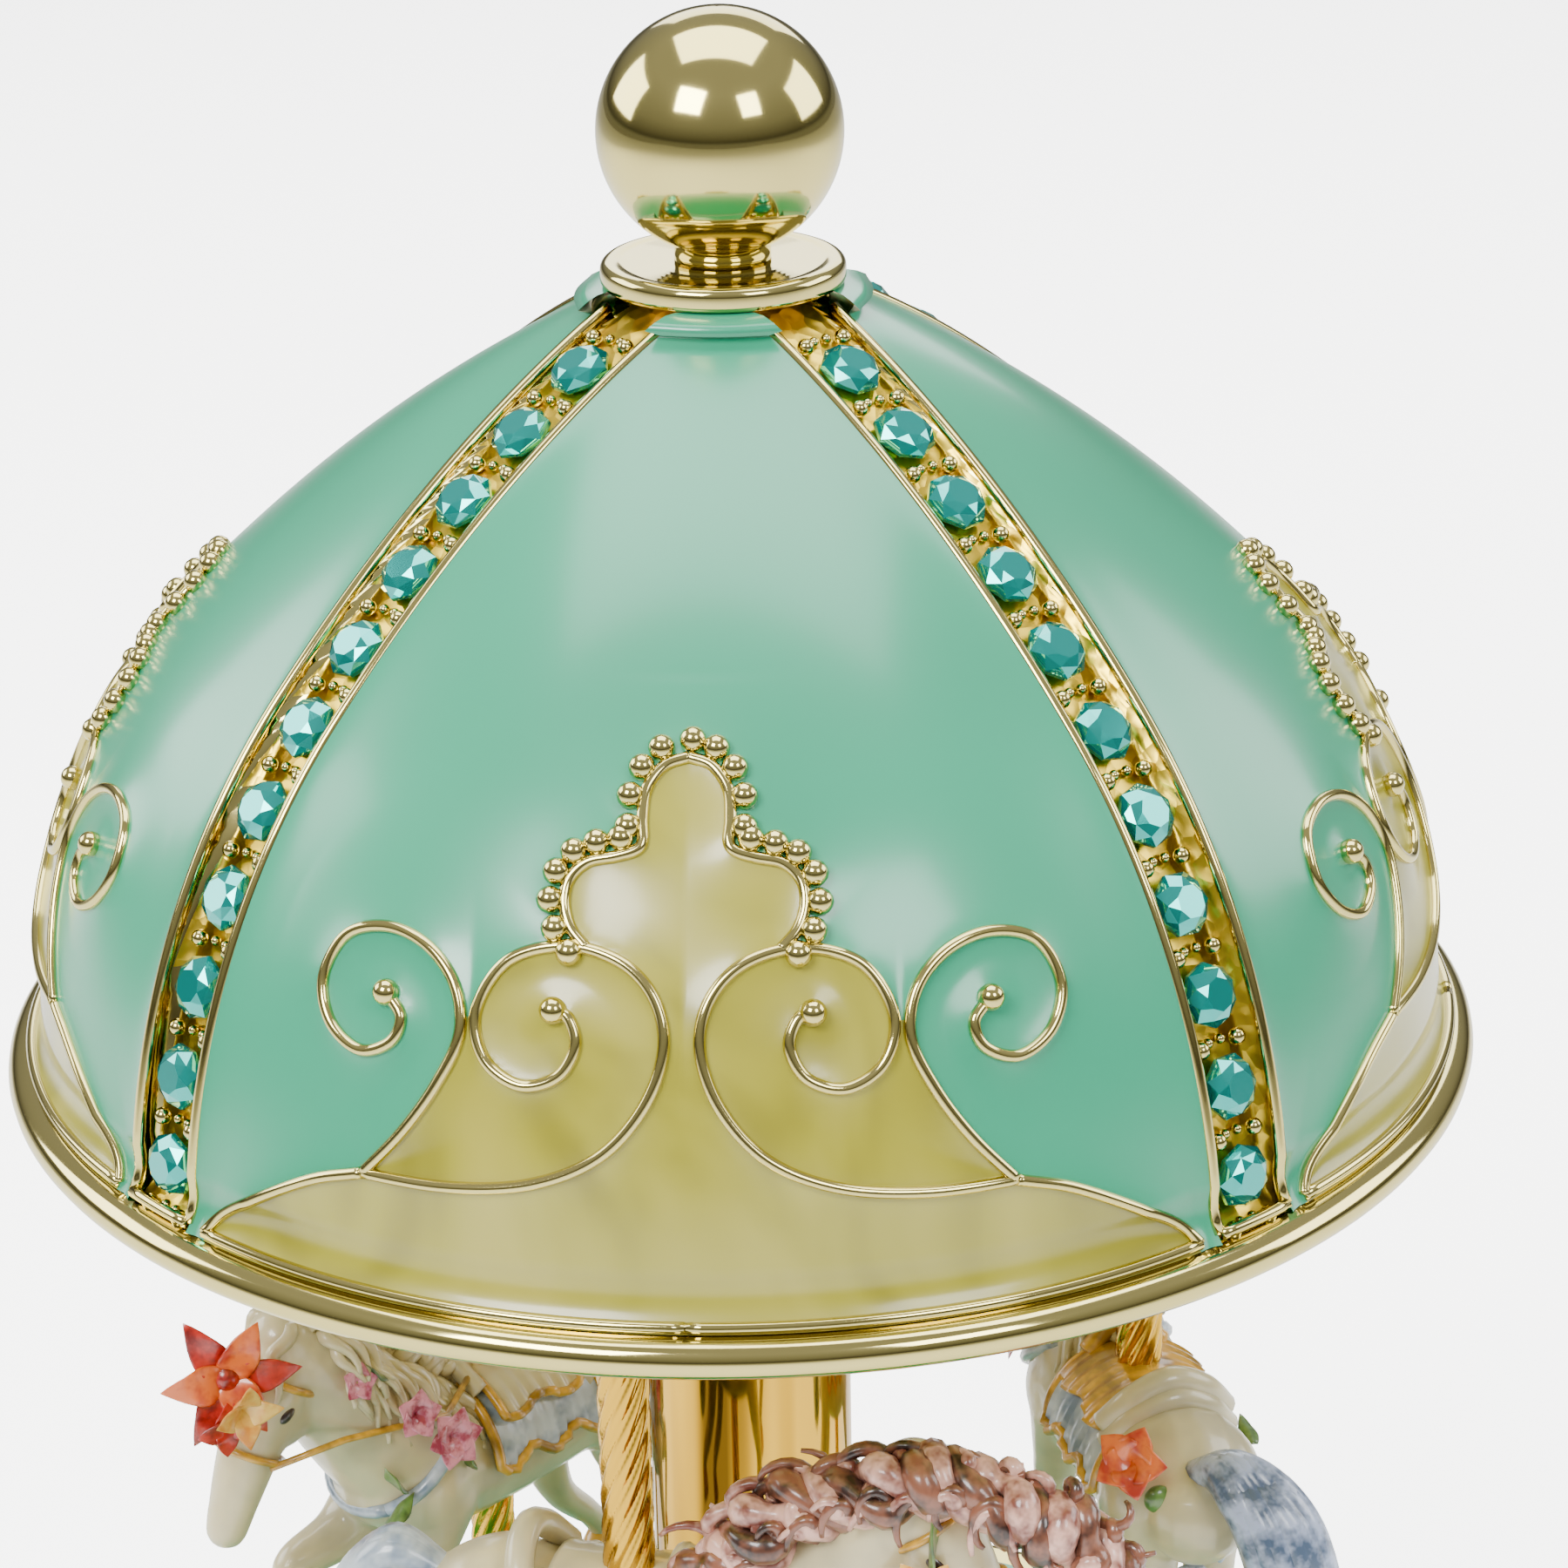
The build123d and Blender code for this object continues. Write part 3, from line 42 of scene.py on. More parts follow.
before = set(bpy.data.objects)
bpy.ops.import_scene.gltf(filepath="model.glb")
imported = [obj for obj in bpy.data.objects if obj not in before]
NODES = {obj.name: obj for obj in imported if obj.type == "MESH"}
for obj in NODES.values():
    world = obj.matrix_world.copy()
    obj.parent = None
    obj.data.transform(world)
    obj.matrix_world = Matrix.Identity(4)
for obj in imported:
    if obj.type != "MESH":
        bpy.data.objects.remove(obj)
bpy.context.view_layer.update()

MM = 0.001
RIM_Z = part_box("canopy_shell")[0].z / MM
RIM_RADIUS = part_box("canopy_shell")[1].x / MM
COLLAR_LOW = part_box("finial_washer")[0].z / MM - RIM_Z
COLLAR_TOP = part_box("finial_washer")[1].z / MM - RIM_Z
COLLAR_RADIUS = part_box("finial_washer")[1].x / MM
BALL_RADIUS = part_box("finial_ball")[1].x / MM
BALL_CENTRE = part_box("finial_ball")[1].z / MM - RIM_Z - BALL_RADIUS
PLATFORM_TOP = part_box("platform")[1].z / MM
POLES = ("front", "right", "left")

# The canopy's section, in millimetres from the rim's lower edge
BAND_TOP = 2.0
SHOULDER_CENTRE = (5.8, 3.0)
SHOULDER_RADIUS = 30.2
CROWN_RADIUS = 75.7
JOIN_ANGLE = math.radians(45)
WAIST_Z = 4.6
CHANNEL_HALF = 2.1
RAIL_HALF = 2.35
PANEL_TOP = 38.9
TONGUE = ((39.3, 7.6), (39.6, 7.0), (39.8, 6.4), (39.84, 5.8))     # where a panel's tip runs in under the collar


# ---------------------------------------------------------------- small tools
def to_linear(hex_colour):
    """sRGB hex to a linear RGBA colour."""
    values = [int(hex_colour[i:i + 2], 16) / 255 for i in (1, 3, 5)]
    linear = [v / 12.92 if v <= 0.04045 else ((v + 0.055) / 1.055) ** 2.4 for v in values]
    return (*linear, 1.0)


def add_node(tree, kind, links=None, **settings):
    """Add a shader node; settings are its sockets by name or its own attributes, links feed its sockets."""
    node = tree.nodes.new(kind)
    for name, value in settings.items():
        label = name.replace("_", " ")
        if hasattr(node, name):
            setattr(node, name, value)
        else:
            socket = next(s for s in node.inputs if s.name.lower() == label.lower())
            socket.default_value = value
    for name, source in (links or {}).items():
        tree.links.new(source, node.inputs[name])
    return node


def as_linear(colour):
    """Linear RGBA from a hex value or from a colour setting, which is linear already."""
    return to_linear(colour) if isinstance(colour, str) else (*colour, 1.0)


def new_material(name, colour, **shader):
    """Material with one Principled shader; returns the material, its tree and the shader."""
    material = bpy.data.materials.new(name)
    material.use_nodes = True
    tree = material.node_tree
    principled = tree.nodes["Principled BSDF"]
    principled.inputs["Base Color"].default_value = as_linear(colour)
    for socket, value in shader.items():
        principled.inputs[socket.replace("_", " ")].default_value = value
    material.diffuse_color = as_linear(colour)
    return material, tree, principled


def ramp_colours(ramp, stops):
    """Set a colour ramp from (place, hex) pairs."""
    while len(ramp.elements) > len(stops):
        ramp.elements.remove(ramp.elements[-1])
    while len(ramp.elements) < len(stops):
        ramp.elements.new(0.5)
    for element, (place, colour) in zip(ramp.elements, stops):
        element.position = place
        element.color = as_linear(colour)


def mesh_piece(name, points, faces, materials, smooth=True, face_slots=None):
    """Object from points in millimetres and faces."""
    mesh = bpy.data.meshes.new(name)
    mesh.from_pydata([tuple(p) for p in np.asarray(points, float) * MM], [], [tuple(f) for f in faces])
    for material in materials:
        mesh.materials.append(material)
    if face_slots is not None:
        mesh.polygons.foreach_set("material_index", np.asarray(face_slots, np.int32))
    mesh.polygons.foreach_set("use_smooth", [smooth] * len(mesh.polygons))
    mesh.update()
    piece = bpy.data.objects.new(name, mesh)
    bpy.context.scene.collection.objects.link(piece)
    return piece


def place_piece(piece, body, slot, *nodes):
    """Attach a piece to a body and hide the plain solids that it stands for; slot, the name of its finish, is not used.
    """
    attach(piece, body)
    if nodes:
        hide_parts(*nodes)


def merge(parts):
    """Join (points, faces) pairs into one."""
    points = []
    faces = []
    count = 0
    for part_points, part_faces in parts:
        points.append(np.asarray(part_points, float))
        faces += [tuple(i + count for i in face) for face in part_faces]
        count += len(part_points)
    return np.vstack(points), faces


def grid_faces(rows, columns, closed=False):
    """Quads of a grid of points stored row by row; closed joins the last column to the first."""
    faces = []
    last = columns if closed else columns - 1
    for row in range(rows - 1):
        for column in range(last):
            right = (column + 1) % columns
            low = row * columns
            faces.append((low + column, low + right, low + columns + right, low + columns + column))
    return faces


def lathe(profile, segments=96):
    """Surface of revolution from (radius, height) pairs."""
    angles = np.linspace(0, 2 * math.pi, segments, endpoint=False)
    points = [(r * math.cos(a), r * math.sin(a), z) for r, z in profile for a in angles]
    return np.array(points), grid_faces(len(profile), segments, closed=True)


def arc(centre, radius, start, end, steps):
    """(radius, height) pairs round an arc, angles in degrees."""
    angles = np.radians(np.linspace(start, end, steps))
    return [(centre[0] + radius * math.cos(a), centre[1] + radius * math.sin(a)) for a in angles]


def smooth_path(points, steps=10):
    """Points of a smooth curve through the given ones."""
    given = np.asarray(points, float)
    padded = np.vstack([2 * given[0] - given[1], given, 2 * given[-1] - given[-2]])
    path = []
    for i in range(1, len(padded) - 2):
        before, start, end, after = padded[i - 1:i + 3]
        for t in np.linspace(0, 1, steps, endpoint=False):
            path.append(0.5 * (2 * start + (end - before) * t + (2 * before - 5 * start + 4 * end - after) * t**2
                               + (3 * start - before - 3 * end + after) * t**3))
    path.append(given[-1])
    return np.array(path)


def ball(centre, radius, rings=8, segments=12):
    """Small round ball."""
    points = []
    for ring in range(rings + 1):
        tilt = math.pi * ring / rings
        for segment in range(segments):
            turn = 2 * math.pi * segment / segments
            points.append((math.sin(tilt) * math.cos(turn), math.sin(tilt) * math.sin(turn), -math.cos(tilt)))
    return np.array(points) * radius + np.array(centre), grid_faces(rings + 1, segments, closed=True)


def tube(path, radii, segments=10):
    """Round wire along a path of 3-D points, closed by small caps."""
    path = np.asarray(path, float)
    radii = np.broadcast_to(np.asarray(radii, float), (len(path),))
    tangents = np.gradient(path, axis=0)
    tangents /= np.linalg.norm(tangents, axis=1)[:, None]
    side = np.cross(tangents[0], (0.3, 0.2, 1.0))
    points = []
    for centre, tangent, radius in zip(path, tangents, radii):
        side = side - tangent * side.dot(tangent)
        side /= np.linalg.norm(side)
        other = np.cross(tangent, side)
        for segment in range(segments):
            turn = 2 * math.pi * segment / segments
            points.append(centre + radius * (side * math.cos(turn) + other * math.sin(turn)))
    faces = grid_faces(len(path), segments, closed=True)
    faces.append(tuple(range(segments))[::-1])
    faces.append(tuple(range(len(points) - segments, len(points))))
    return np.array(points), faces


def turned(points, degrees):
    """Points turned about the music box's axis."""
    turn = math.radians(degrees)
    spin = np.array([[math.cos(turn), -math.sin(turn), 0], [math.sin(turn), math.cos(turn), 0], [0, 0, 1]])
    return np.asarray(points, float) @ spin.T


# ---------------------------------------------------------------- canopy shape
def dome_radius(height):
    """Radius of the finished canopy at the middle of a panel, for an array of heights above the rim."""
    z = np.asarray(height, float)
    shoulder_r, shoulder_z = SHOULDER_CENTRE
    join_z = shoulder_z + SHOULDER_RADIUS * math.sin(JOIN_ANGLE)
    shift = (CROWN_RADIUS - SHOULDER_RADIUS) * math.cos(JOIN_ANGLE)
    shoulder = shoulder_r + np.sqrt(np.maximum(SHOULDER_RADIUS**2 - (z - shoulder_z) ** 2, 0))
    crown = shoulder_r - shift + np.sqrt(np.maximum(CROWN_RADIUS**2 - (z - shoulder_z + shift) ** 2, 0))
    waist = float(shoulder_r + math.sqrt(SHOULDER_RADIUS**2 - (WAIST_Z - shoulder_z) ** 2))
    flare = np.clip((WAIST_Z - z) / (WAIST_Z - 0.9), 0, 1)
    skirt = waist - 0.35 * np.sin(np.pi * flare) + (RIM_RADIUS - waist) * flare**2
    return np.where(z < WAIST_Z, skirt, np.where(z < join_z, shoulder, crown))


def rib_dip(height):
    """How far the ribs lie inside the middle of the panels."""
    z = np.asarray(height, float)
    return 0.25 + 1.45 * np.sin(np.pi * np.clip((z - 2.0) / 38.0, 0, 1)) ** 0.8


def panel_radius(angle, height):
    """Radius of a pillowed panel; the angle is measured from the panel's middle, in radians."""
    pillow = 1 - np.abs(np.cos(2 * np.clip(angle, -math.pi / 4, math.pi / 4))) ** 0.8
    return dome_radius(height) - 0.62 * rib_dip(height) * pillow


def profile_heights(low, high, spacing):
    """Heights evenly spaced along the canopy's section."""
    fine = np.linspace(low, high, 2000)
    length = np.concatenate([[0], np.cumsum(np.hypot(np.diff(fine), np.diff(dome_radius(fine))))])
    return np.interp(np.linspace(0, length[-1], int(length[-1] / spacing) + 1), length, fine)


# Scroll design of a panel's right half: (x, height) in millimetres
SCROLL_CORNER = (14.6, 7.8)
TREFOIL = ((0, 25.4), (1.05, 25.1), (1.8, 24.3), (1.95, 23.3), (1.9, 22.5), (2.2, 22.15), (3.1, 21.9),
           (4.3, 21.65), (5.1, 21.0), (5.3, 20.1), (5.0, 19.2), (4.3, 18.5))
INNER_SCROLL = (SCROLL_CORNER, (10.5, 7.95), (6.7, 8.6), (3.7, 10.0), (1.7, 12.2), (0.8, 14.6), (1.2, 16.6),
                (2.7, 18.0), (5.2, 18.5), (7.8, 17.7), (9.2, 15.6), (8.8, 13.7), (7.2, 12.8), (5.5, 13.3),
                (4.7, 14.6), (5.0, 15.7), (5.7, 16.0))
OUTER_SCROLL = (SCROLL_CORNER, (12.6, 10.1), (11.0, 12.4), (9.95, 14.6), (10.2, 16.5), (11.5, 17.8),
                (13.4, 18.2), (15.4, 17.5), (16.5, 15.6), (16.1, 13.9), (14.7, 13.1), (13.2, 13.7),
                (12.7, 14.8), (13.3, 15.6))
BOAT_EDGE = (SCROLL_CORNER, (17.0, 6.9), (19.6, 5.3), (21.6, 3.7), (22.9, 2.35))
BOAT_FLOOR = ((22.9, 2.35), (16.0, 2.3), (8.0, 2.3), (0, 2.3))
SCROLL_BALLS = ((5.7, 16.0), (13.4, 15.7))


def both_sides(path):
    """A half design's path and its mirror image."""
    return [path, path * np.array([-1, 1])]


def design_wires():
    """All the wires of one panel, as paths in (x, height)."""
    wires = []
    for points in (TREFOIL, INNER_SCROLL, OUTER_SCROLL, BOAT_EDGE, BOAT_FLOOR):
        wires += both_sides(smooth_path(points))
    return wires


def cream_outline():
    """Edge of the cream enamel of one panel."""
    over_scroll = smooth_path(((4.3, 18.5), (5.2, 18.5), (7.8, 17.7), (9.2, 15.6), (9.6, 15.3)))
    flank = smooth_path(OUTER_SCROLL[:4])[::-1]
    right = np.vstack([smooth_path(TREFOIL), over_scroll, flank, smooth_path(BOAT_EDGE), [(23.3, 1.0)]])
    left = (right * np.array([-1, 1]))[::-1]
    return np.vstack([right, left])


def inside(points, outline):
    """Which points lie inside a closed outline."""
    x, y = points[:, 0], points[:, 1]
    result = np.zeros(len(points), bool)
    for (x0, y0), (x1, y1) in zip(outline, np.roll(outline, -1, axis=0)):
        crosses = (y0 > y) != (y1 > y)
        if y0 != y1:
            result ^= crosses & (x < (x1 - x0) * (y - y0) / (y1 - y0) + x0)
    return result


def on_canopy(path, lift=0.0, degrees=0.0):
    """A path of (x, height) laid on the front panel, then turned to one of the four sides."""
    path = np.asarray(path, float)
    x, z = path[:, 0], path[:, 1]
    radius = dome_radius(z)
    for _ in range(4):
        angle = np.arcsin(np.clip(x / radius, -1, 1))
        radius = panel_radius(angle, z)
    radius = radius + lift
    points = np.column_stack([radius * np.sin(angle), -radius * np.cos(angle), RIM_Z + z])
    return turned(points, degrees)


# ---------------------------------------------------------------- finishes
def polished_gold(colour):
    """Champagne-gold electroplate over polished zinc: a pale mirror, with faint soft patches from the plating."""
    material, tree, shader = new_material("polished_gold_plate", colour, Metallic=1.0, Roughness=0.09)
    coordinates = add_node(tree, "ShaderNodeTexCoord")
    noise = add_node(tree, "ShaderNodeTexNoise", {"Vector": coordinates.outputs["Object"]}, Scale=160.0, Detail=3.0)
    roughness = add_node(tree, "ShaderNodeMapRange", {"Value": noise.outputs["Fac"]}, To_Min=0.05, To_Max=0.13)
    tree.links.new(roughness.outputs["Result"], shader.inputs["Roughness"])
    return material


def grained_gold(colour):
    """Gold plate over the cast, finely pitted floor of the jewelled channels: it sparkles and goes dark in turns."""
    # the colour given is the deeper channel gold, which paints in the light bounced about in the sunken channels
    material, tree, shader = new_material("cast_gold_plate", colour, Metallic=1.0, Roughness=0.3)
    coordinates = add_node(tree, "ShaderNodeTexCoord")
    grains = add_node(tree, "ShaderNodeTexVoronoi", {"Vector": coordinates.outputs["Object"]}, Scale=1100.0)
    bump = add_node(tree, "ShaderNodeBump", {"Height": grains.outputs["Distance"]}, Strength=0.45, Distance=0.0002)
    tree.links.new(bump.outputs["Normal"], shader.inputs["Normal"])
    return material


def brass_tube(colour):
    """Lacquered drawn brass: warm and mirror-like, with fine lines along the tube."""
    material, tree, shader = new_material("lacquered_brass", colour, Metallic=1.0, Roughness=0.14)
    coordinates = add_node(tree, "ShaderNodeTexCoord")
    stretch = add_node(tree, "ShaderNodeMapping", {"Vector": coordinates.outputs["Object"]}, Scale=(900, 900, 25))
    lines = add_node(tree, "ShaderNodeTexNoise", {"Vector": stretch.outputs["Vector"]}, Scale=1.0, Detail=2.0)
    rough = add_node(tree, "ShaderNodeMapRange", {"Value": lines.outputs["Fac"]}, To_Min=0.08, To_Max=0.26)
    tree.links.new(rough.outputs["Result"], shader.inputs["Roughness"])
    return material


def brass_with_painted_reflections(colour):
    """Buffed and lacquered brass tube: a warm mirror whose base colour holds painted reflections, upright bands of pale
    gold beside dark bronze.
    """
    material, tree, shader = new_material("buffed_brass_painted_reflections", colour, Metallic=1.0, Roughness=0.07)
    coordinates = add_node(tree, "ShaderNodeTexCoord")
    stretch = add_node(tree, "ShaderNodeMapping", {"Vector": coordinates.outputs["Object"]}, Scale=(330, 330, 9))
    # painted reflections: bands stretched up the tube, dark bronze to pale gold, stand for the poles and horses
    # mirrored in the column
    painted_reflection_bands = add_node(tree, "ShaderNodeTexNoise", {"Vector": stretch.outputs["Vector"]}, Scale=1.0, Detail=2.0)
    ramp = add_node(tree, "ShaderNodeValToRGB", {"Fac": painted_reflection_bands.outputs["Fac"]})
    ramp_colours(ramp.color_ramp, ((0.38, "#5E4410"), (0.47, "#A67C18"), (0.6, colour)))
    tree.links.new(ramp.outputs["Color"], shader.inputs["Base Color"])
    return material


def mint_enamel(colour):
    """Soft cold enamel, poured and polished: an even mint green under a wet clear gloss."""
    material, tree, shader = new_material("mint_enamel", colour, Roughness=0.3, Coat_Weight=0.6, Coat_Roughness=0.16)
    coordinates = add_node(tree, "ShaderNodeTexCoord")
    noise = add_node(tree, "ShaderNodeTexNoise", {"Vector": coordinates.outputs["Object"]}, Scale=35.0, Detail=2.0)
    ramp = add_node(tree, "ShaderNodeValToRGB", {"Fac": noise.outputs["Fac"]})
    ramp_colours(ramp.color_ramp, ((0.3, "#1E8C68"), (0.7, colour)))
    tree.links.new(ramp.outputs["Color"], shader.inputs["Base Color"])
    return material


def cream_enamel(colour):
    """Pearly cream enamel: olive cream with slow swirls of a lighter pearl, under a clear gloss."""
    material, tree, shader = new_material("cream_enamel", colour, Roughness=0.3, Coat_Weight=0.6, Coat_Roughness=0.14)
    coordinates = add_node(tree, "ShaderNodeTexCoord")
    swirl = add_node(tree, "ShaderNodeTexNoise", {"Vector": coordinates.outputs["Object"]}, Scale=70.0,
                     Detail=1.5, Distortion=2.2)
    ramp = add_node(tree, "ShaderNodeValToRGB", {"Fac": swirl.outputs["Fac"]})
    ramp_colours(ramp.color_ramp, ((0.35, "#87811C"), (0.5, colour), (0.7, "#AAA23E")))
    tree.links.new(ramp.outputs["Color"], shader.inputs["Base Color"])
    return material


def foiled_crystal(colour):
    """Aqua glass stones with a foiled back: each facet is a small tinted mirror under clear glass."""
    material, tree, shader = new_material("aqua_crystal", colour, Metallic=0.75, Roughness=0.06, Coat_Weight=1.0,
                                          Coat_Roughness=0.01)
    return material


def painted_resin(name, colour, shade, patch_mm=6.0):
    """Cast resin, hand painted and varnished: one colour washed unevenly with a darker tone."""
    material, tree, shader = new_material(name, colour, Roughness=0.32, Coat_Weight=0.6, Coat_Roughness=0.12,
                                          Subsurface_Weight=0.08)
    shader.inputs["Subsurface Radius"].default_value = (0.001, 0.0008, 0.0006)
    coordinates = add_node(tree, "ShaderNodeTexCoord")
    noise = add_node(tree, "ShaderNodeTexNoise", {"Vector": coordinates.outputs["Object"]},
                     Scale=1 / (patch_mm * MM), Detail=3.0, Roughness=0.6)
    ramp = add_node(tree, "ShaderNodeValToRGB", {"Fac": noise.outputs["Fac"]})
    ramp_colours(ramp.color_ramp, ((0.38, shade), (0.58, colour)))
    tree.links.new(ramp.outputs["Color"], shader.inputs["Base Color"])
    return material


def plain_metal(name, colour, roughness):
    """Turned and stamped movement parts: even satin metal."""
    return new_material(name, colour, Metallic=1.0, Roughness=roughness)[0]


def moulded_nylon(colour):
    """Natural nylon, injection moulded: milky and softly shiny."""
    return new_material("moulded_nylon", colour, Roughness=0.45)[0]


def wool_felt(colour):
    """Pressed wool felt: matt and fibrous."""
    material, tree, shader = new_material("pressed_felt", colour, Roughness=0.95, Sheen_Weight=0.4)
    coordinates = add_node(tree, "ShaderNodeTexCoord")
    fibres = add_node(tree, "ShaderNodeTexNoise", {"Vector": coordinates.outputs["Object"]}, Scale=2500.0, Detail=4.0)
    bump = add_node(tree, "ShaderNodeBump", {"Height": fibres.outputs["Fac"]}, Strength=0.6, Distance=0.0002)
    tree.links.new(bump.outputs["Normal"], shader.inputs["Normal"])
    return material


FINISHES = {}


def finish(name):
    """A finish made once and shared; each piece asks for it by name."""
    if name in FINISHES:
        return FINISHES[name]
    colours = bpy.context.scene.carousel_colours
    makers = {
        "gold": lambda: polished_gold(colours.gold),
        "grain": lambda: grained_gold(colours.channel_gold_painted_interreflection),
        "brass_tube": lambda: brass_tube(colours.pole_gold),
        "column": lambda: brass_with_painted_reflections(colours.pole_gold),
        "mint": lambda: mint_enamel(colours.mint),
        "cream": lambda: cream_enamel(colours.cream),
        "crystal": lambda: foiled_crystal(colours.crystal),
        "horse_white": lambda: painted_resin("ivory_painted_resin", colours.horse, "#B9B08C"),
        "saddle_blue": lambda: painted_resin("blue_grey_paint", "#B9C4CC", "#6F8298", 2.5),
        "tail_blue": lambda: painted_resin("periwinkle_paint", "#AEBBD8", "#4C5E78", 1.6),
        "gold_paint": lambda: painted_resin("ochre_gold_paint", "#D9A42A", "#8F6A14", 2.0),
        "mane_pink": lambda: painted_resin("rose_brown_paint", "#E2B09E", "#7A4034", 1.6),
        "mane_brown": lambda: painted_resin("umber_paint", "#8A5640", "#2E1810", 1.6),
        "flower_orange": lambda: painted_resin("orange_petal_paint", "#E8702A", "#B42C14", 1.6),
        "flower_red": lambda: painted_resin("red_petal_paint", "#C4281A", "#7A1410", 1.2),
        "flower_yellow": lambda: painted_resin("yellow_petal_paint", "#F0C25C", "#DB8A2E", 1.4),
        "flower_pink": lambda: painted_resin("rose_petal_paint", "#DD8FA6", "#9A3350", 1.0),
        "leaf": lambda: painted_resin("leaf_green_paint", "#5C7F35", "#33501F", 1.5),
        "dark": lambda: painted_resin("dark_brown_paint", "#3A2A26", "#1E1614", 1.5),
        "steel": lambda: plain_metal("satin_steel", "#9A9A9C", 0.32),
        "brass": lambda: plain_metal("turned_brass", "#C8A45A", 0.28),
        "nylon": lambda: moulded_nylon("#E6E3D6"),
        "felt": lambda: wool_felt("#1F4A3A"),
    }
    FINISHES[name] = makers[name]()
    return FINISHES[name]


# ---------------------------------------------------------------- canopy pieces
def design_tree():
    """Search tree of the wires' points, for the distance from the enamel to the nearest wire."""
    dense = []
    for wire in design_wires():
        length = np.concatenate([[0], np.cumsum(np.hypot(*np.diff(wire, axis=0).T))])
        places = np.arange(0, length[-1], 0.06)
        dense.append(np.column_stack([np.interp(places, length, wire[:, 0]), np.interp(places, length, wire[:, 1])]))
    points = np.vstack(dense)
    tree = KDTree(len(points))
    for index, (x, z) in enumerate(points):
        tree.insert((x, z, 0), index)
    tree.balance()
    return tree


def enamel_panel(spacing, pool_depth):
    """One panel's enamel as a fine grid: points, faces and which faces are cream."""
    heights = profile_heights(BAND_TOP, PANEL_TOP, spacing)
    columns = int(2 * 28 / spacing)
    across = np.linspace(-1, 1, columns)
    wires = design_tree()
    points = []
    design = []
    rows = [(height, float(dome_radius(height))) for height in heights] + list(TONGUE)
    for height, radius in rows:
        edge = math.pi / 4 - math.asin(min(RAIL_HALF / (radius - 0.5), 0.64))
        angles = across * edge
        surface = panel_radius(angles, height) + radius - float(dome_radius(height))
        x = surface * np.sin(angles)
        rail_gap = (edge - np.abs(angles)) * radius
        for position, angle, reach, gap in zip(x, angles, surface, rail_gap):
            wire_gap = wires.find((position, height, 0))[2] if height < 28 else 9.0
            nearest = min(wire_gap, gap)
            sunk = pool_depth * (1 - math.exp(-nearest / 0.9))
            points.append(((reach - sunk) * math.sin(angle), -(reach - sunk) * math.cos(angle), RIM_Z + height))
            design.append((position, height))
    points = np.array(points)
    design = np.array(design)
    faces = grid_faces(len(rows), columns)
    centres = design[np.array(faces)].mean(axis=1)
    return points, faces, inside(centres, cream_outline())


def kept(points, faces, mask):
    """The faces that a mask keeps, with only their own points."""
    chosen = np.array(faces)[mask]
    used, index = np.unique(chosen, return_inverse=True)
    return points[used], [tuple(face) for face in index.reshape(chosen.shape)]


def build_enamel(settings):
    """Mint and cream enamel of the four panels."""
    points, faces, cream = enamel_panel(settings.enamel_spacing, settings.pool_depth)
    for name, mask, colour, slot in (("mint_enamel", ~cream, "mint", "mint_enamel"),
                                     ("cream_enamel", cream, "cream", "cream_enamel")):
        part = kept(points, faces, mask)
        group = merge([(turned(part[0], 90 * side), part[1]) for side in range(4)])
        piece = mesh_piece(name, *group, [finish(colour)])
        place_piece(piece, "carousel", slot, "mint_panels" if name == "mint_enamel" else "cream_panels")


def build_shell():
    """Gold casting under the enamel, with four sunken channels, the rim band and the hollow inside."""
    heights = profile_heights(BAND_TOP, COLLAR_LOW, 0.8)
    segments = 720
    angles = np.linspace(0, 2 * math.pi, segments, endpoint=False)
    local = (angles + math.pi / 4) % (math.pi / 2) - math.pi / 4
    points = []
    for radius, z in ([(RIM_RADIUS - 3.0, 0.2)] + arc((RIM_RADIUS - 0.95, 0.95), 0.95, -90, 90, 9)):
        points += [(radius * math.cos(a), radius * math.sin(a), RIM_Z + z) for a in angles]
    for height in heights:
        surface = panel_radius(local, height) - 0.55
        offset = (math.pi / 4 - np.abs(local)) * surface
        floor = dome_radius(height) - rib_dip(height) - 0.9
        if height < BAND_TOP + 0.6:
            floor = surface
        wall = np.clip((offset - CHANNEL_HALF) / 0.25, 0, 1)
        radius = np.maximum(floor + (surface - floor) * wall, 0.5)
        points += [(r * math.cos(a), r * math.sin(a), RIM_Z + height) for r, a in zip(radius, angles)]
    rows = len(points) // segments
    faces = grid_faces(rows, segments, closed=True)
    in_channel = []
    centre_angle = (math.pi / 4 - np.abs(local))
    for row in range(rows - 1):
        height = heights[row - 10] if row >= 10 else 0
        radius = float(dome_radius(height))
        in_channel.append(((centre_angle * radius) < CHANNEL_HALF + 0.3) & (row >= 10))
    slots = np.concatenate(in_channel).astype(int)
    outer = mesh_piece("canopy_casting", np.array(points), faces, [finish("gold"), finish("grain")], True, slots)
    place_piece(outer, "carousel", "gold_plate", "canopy_shell")
    inner = [(RIM_RADIUS - 3.0, 0.2)] + [(float(dome_radius(z)) - 2.9, z) for z in np.linspace(1.2, 36, 40)]
    lining_points, lining_faces = lathe([(r, RIM_Z + z) for r, z in inner if r > 0.5])
    lining = mesh_piece("canopy_lining", lining_points, lining_faces, [finish("gold")])
    place_piece(lining, "carousel", "gold_plate")


def build_scrollwork(settings):
    """Raised gold wires of the scroll design and the balls in the scrolls."""
    radius = settings.wire_radius
    parts = []
    for side in range(4):
        for wire in design_wires():
            parts.append(tube(on_canopy(wire, 0.02, 90 * side), radius, 8))
        for x, z in SCROLL_BALLS:
            for sign in (-1, 1):
                centre = on_canopy(((sign * x, z),), 0.1, 90 * side)[0]
                parts.append(ball(centre, 0.62, 12, 16))
    piece = mesh_piece("scroll_wires", *merge(parts), [finish("gold")])
    place_piece(piece, "carousel", "gold_plate", "canopy_scrollwork")


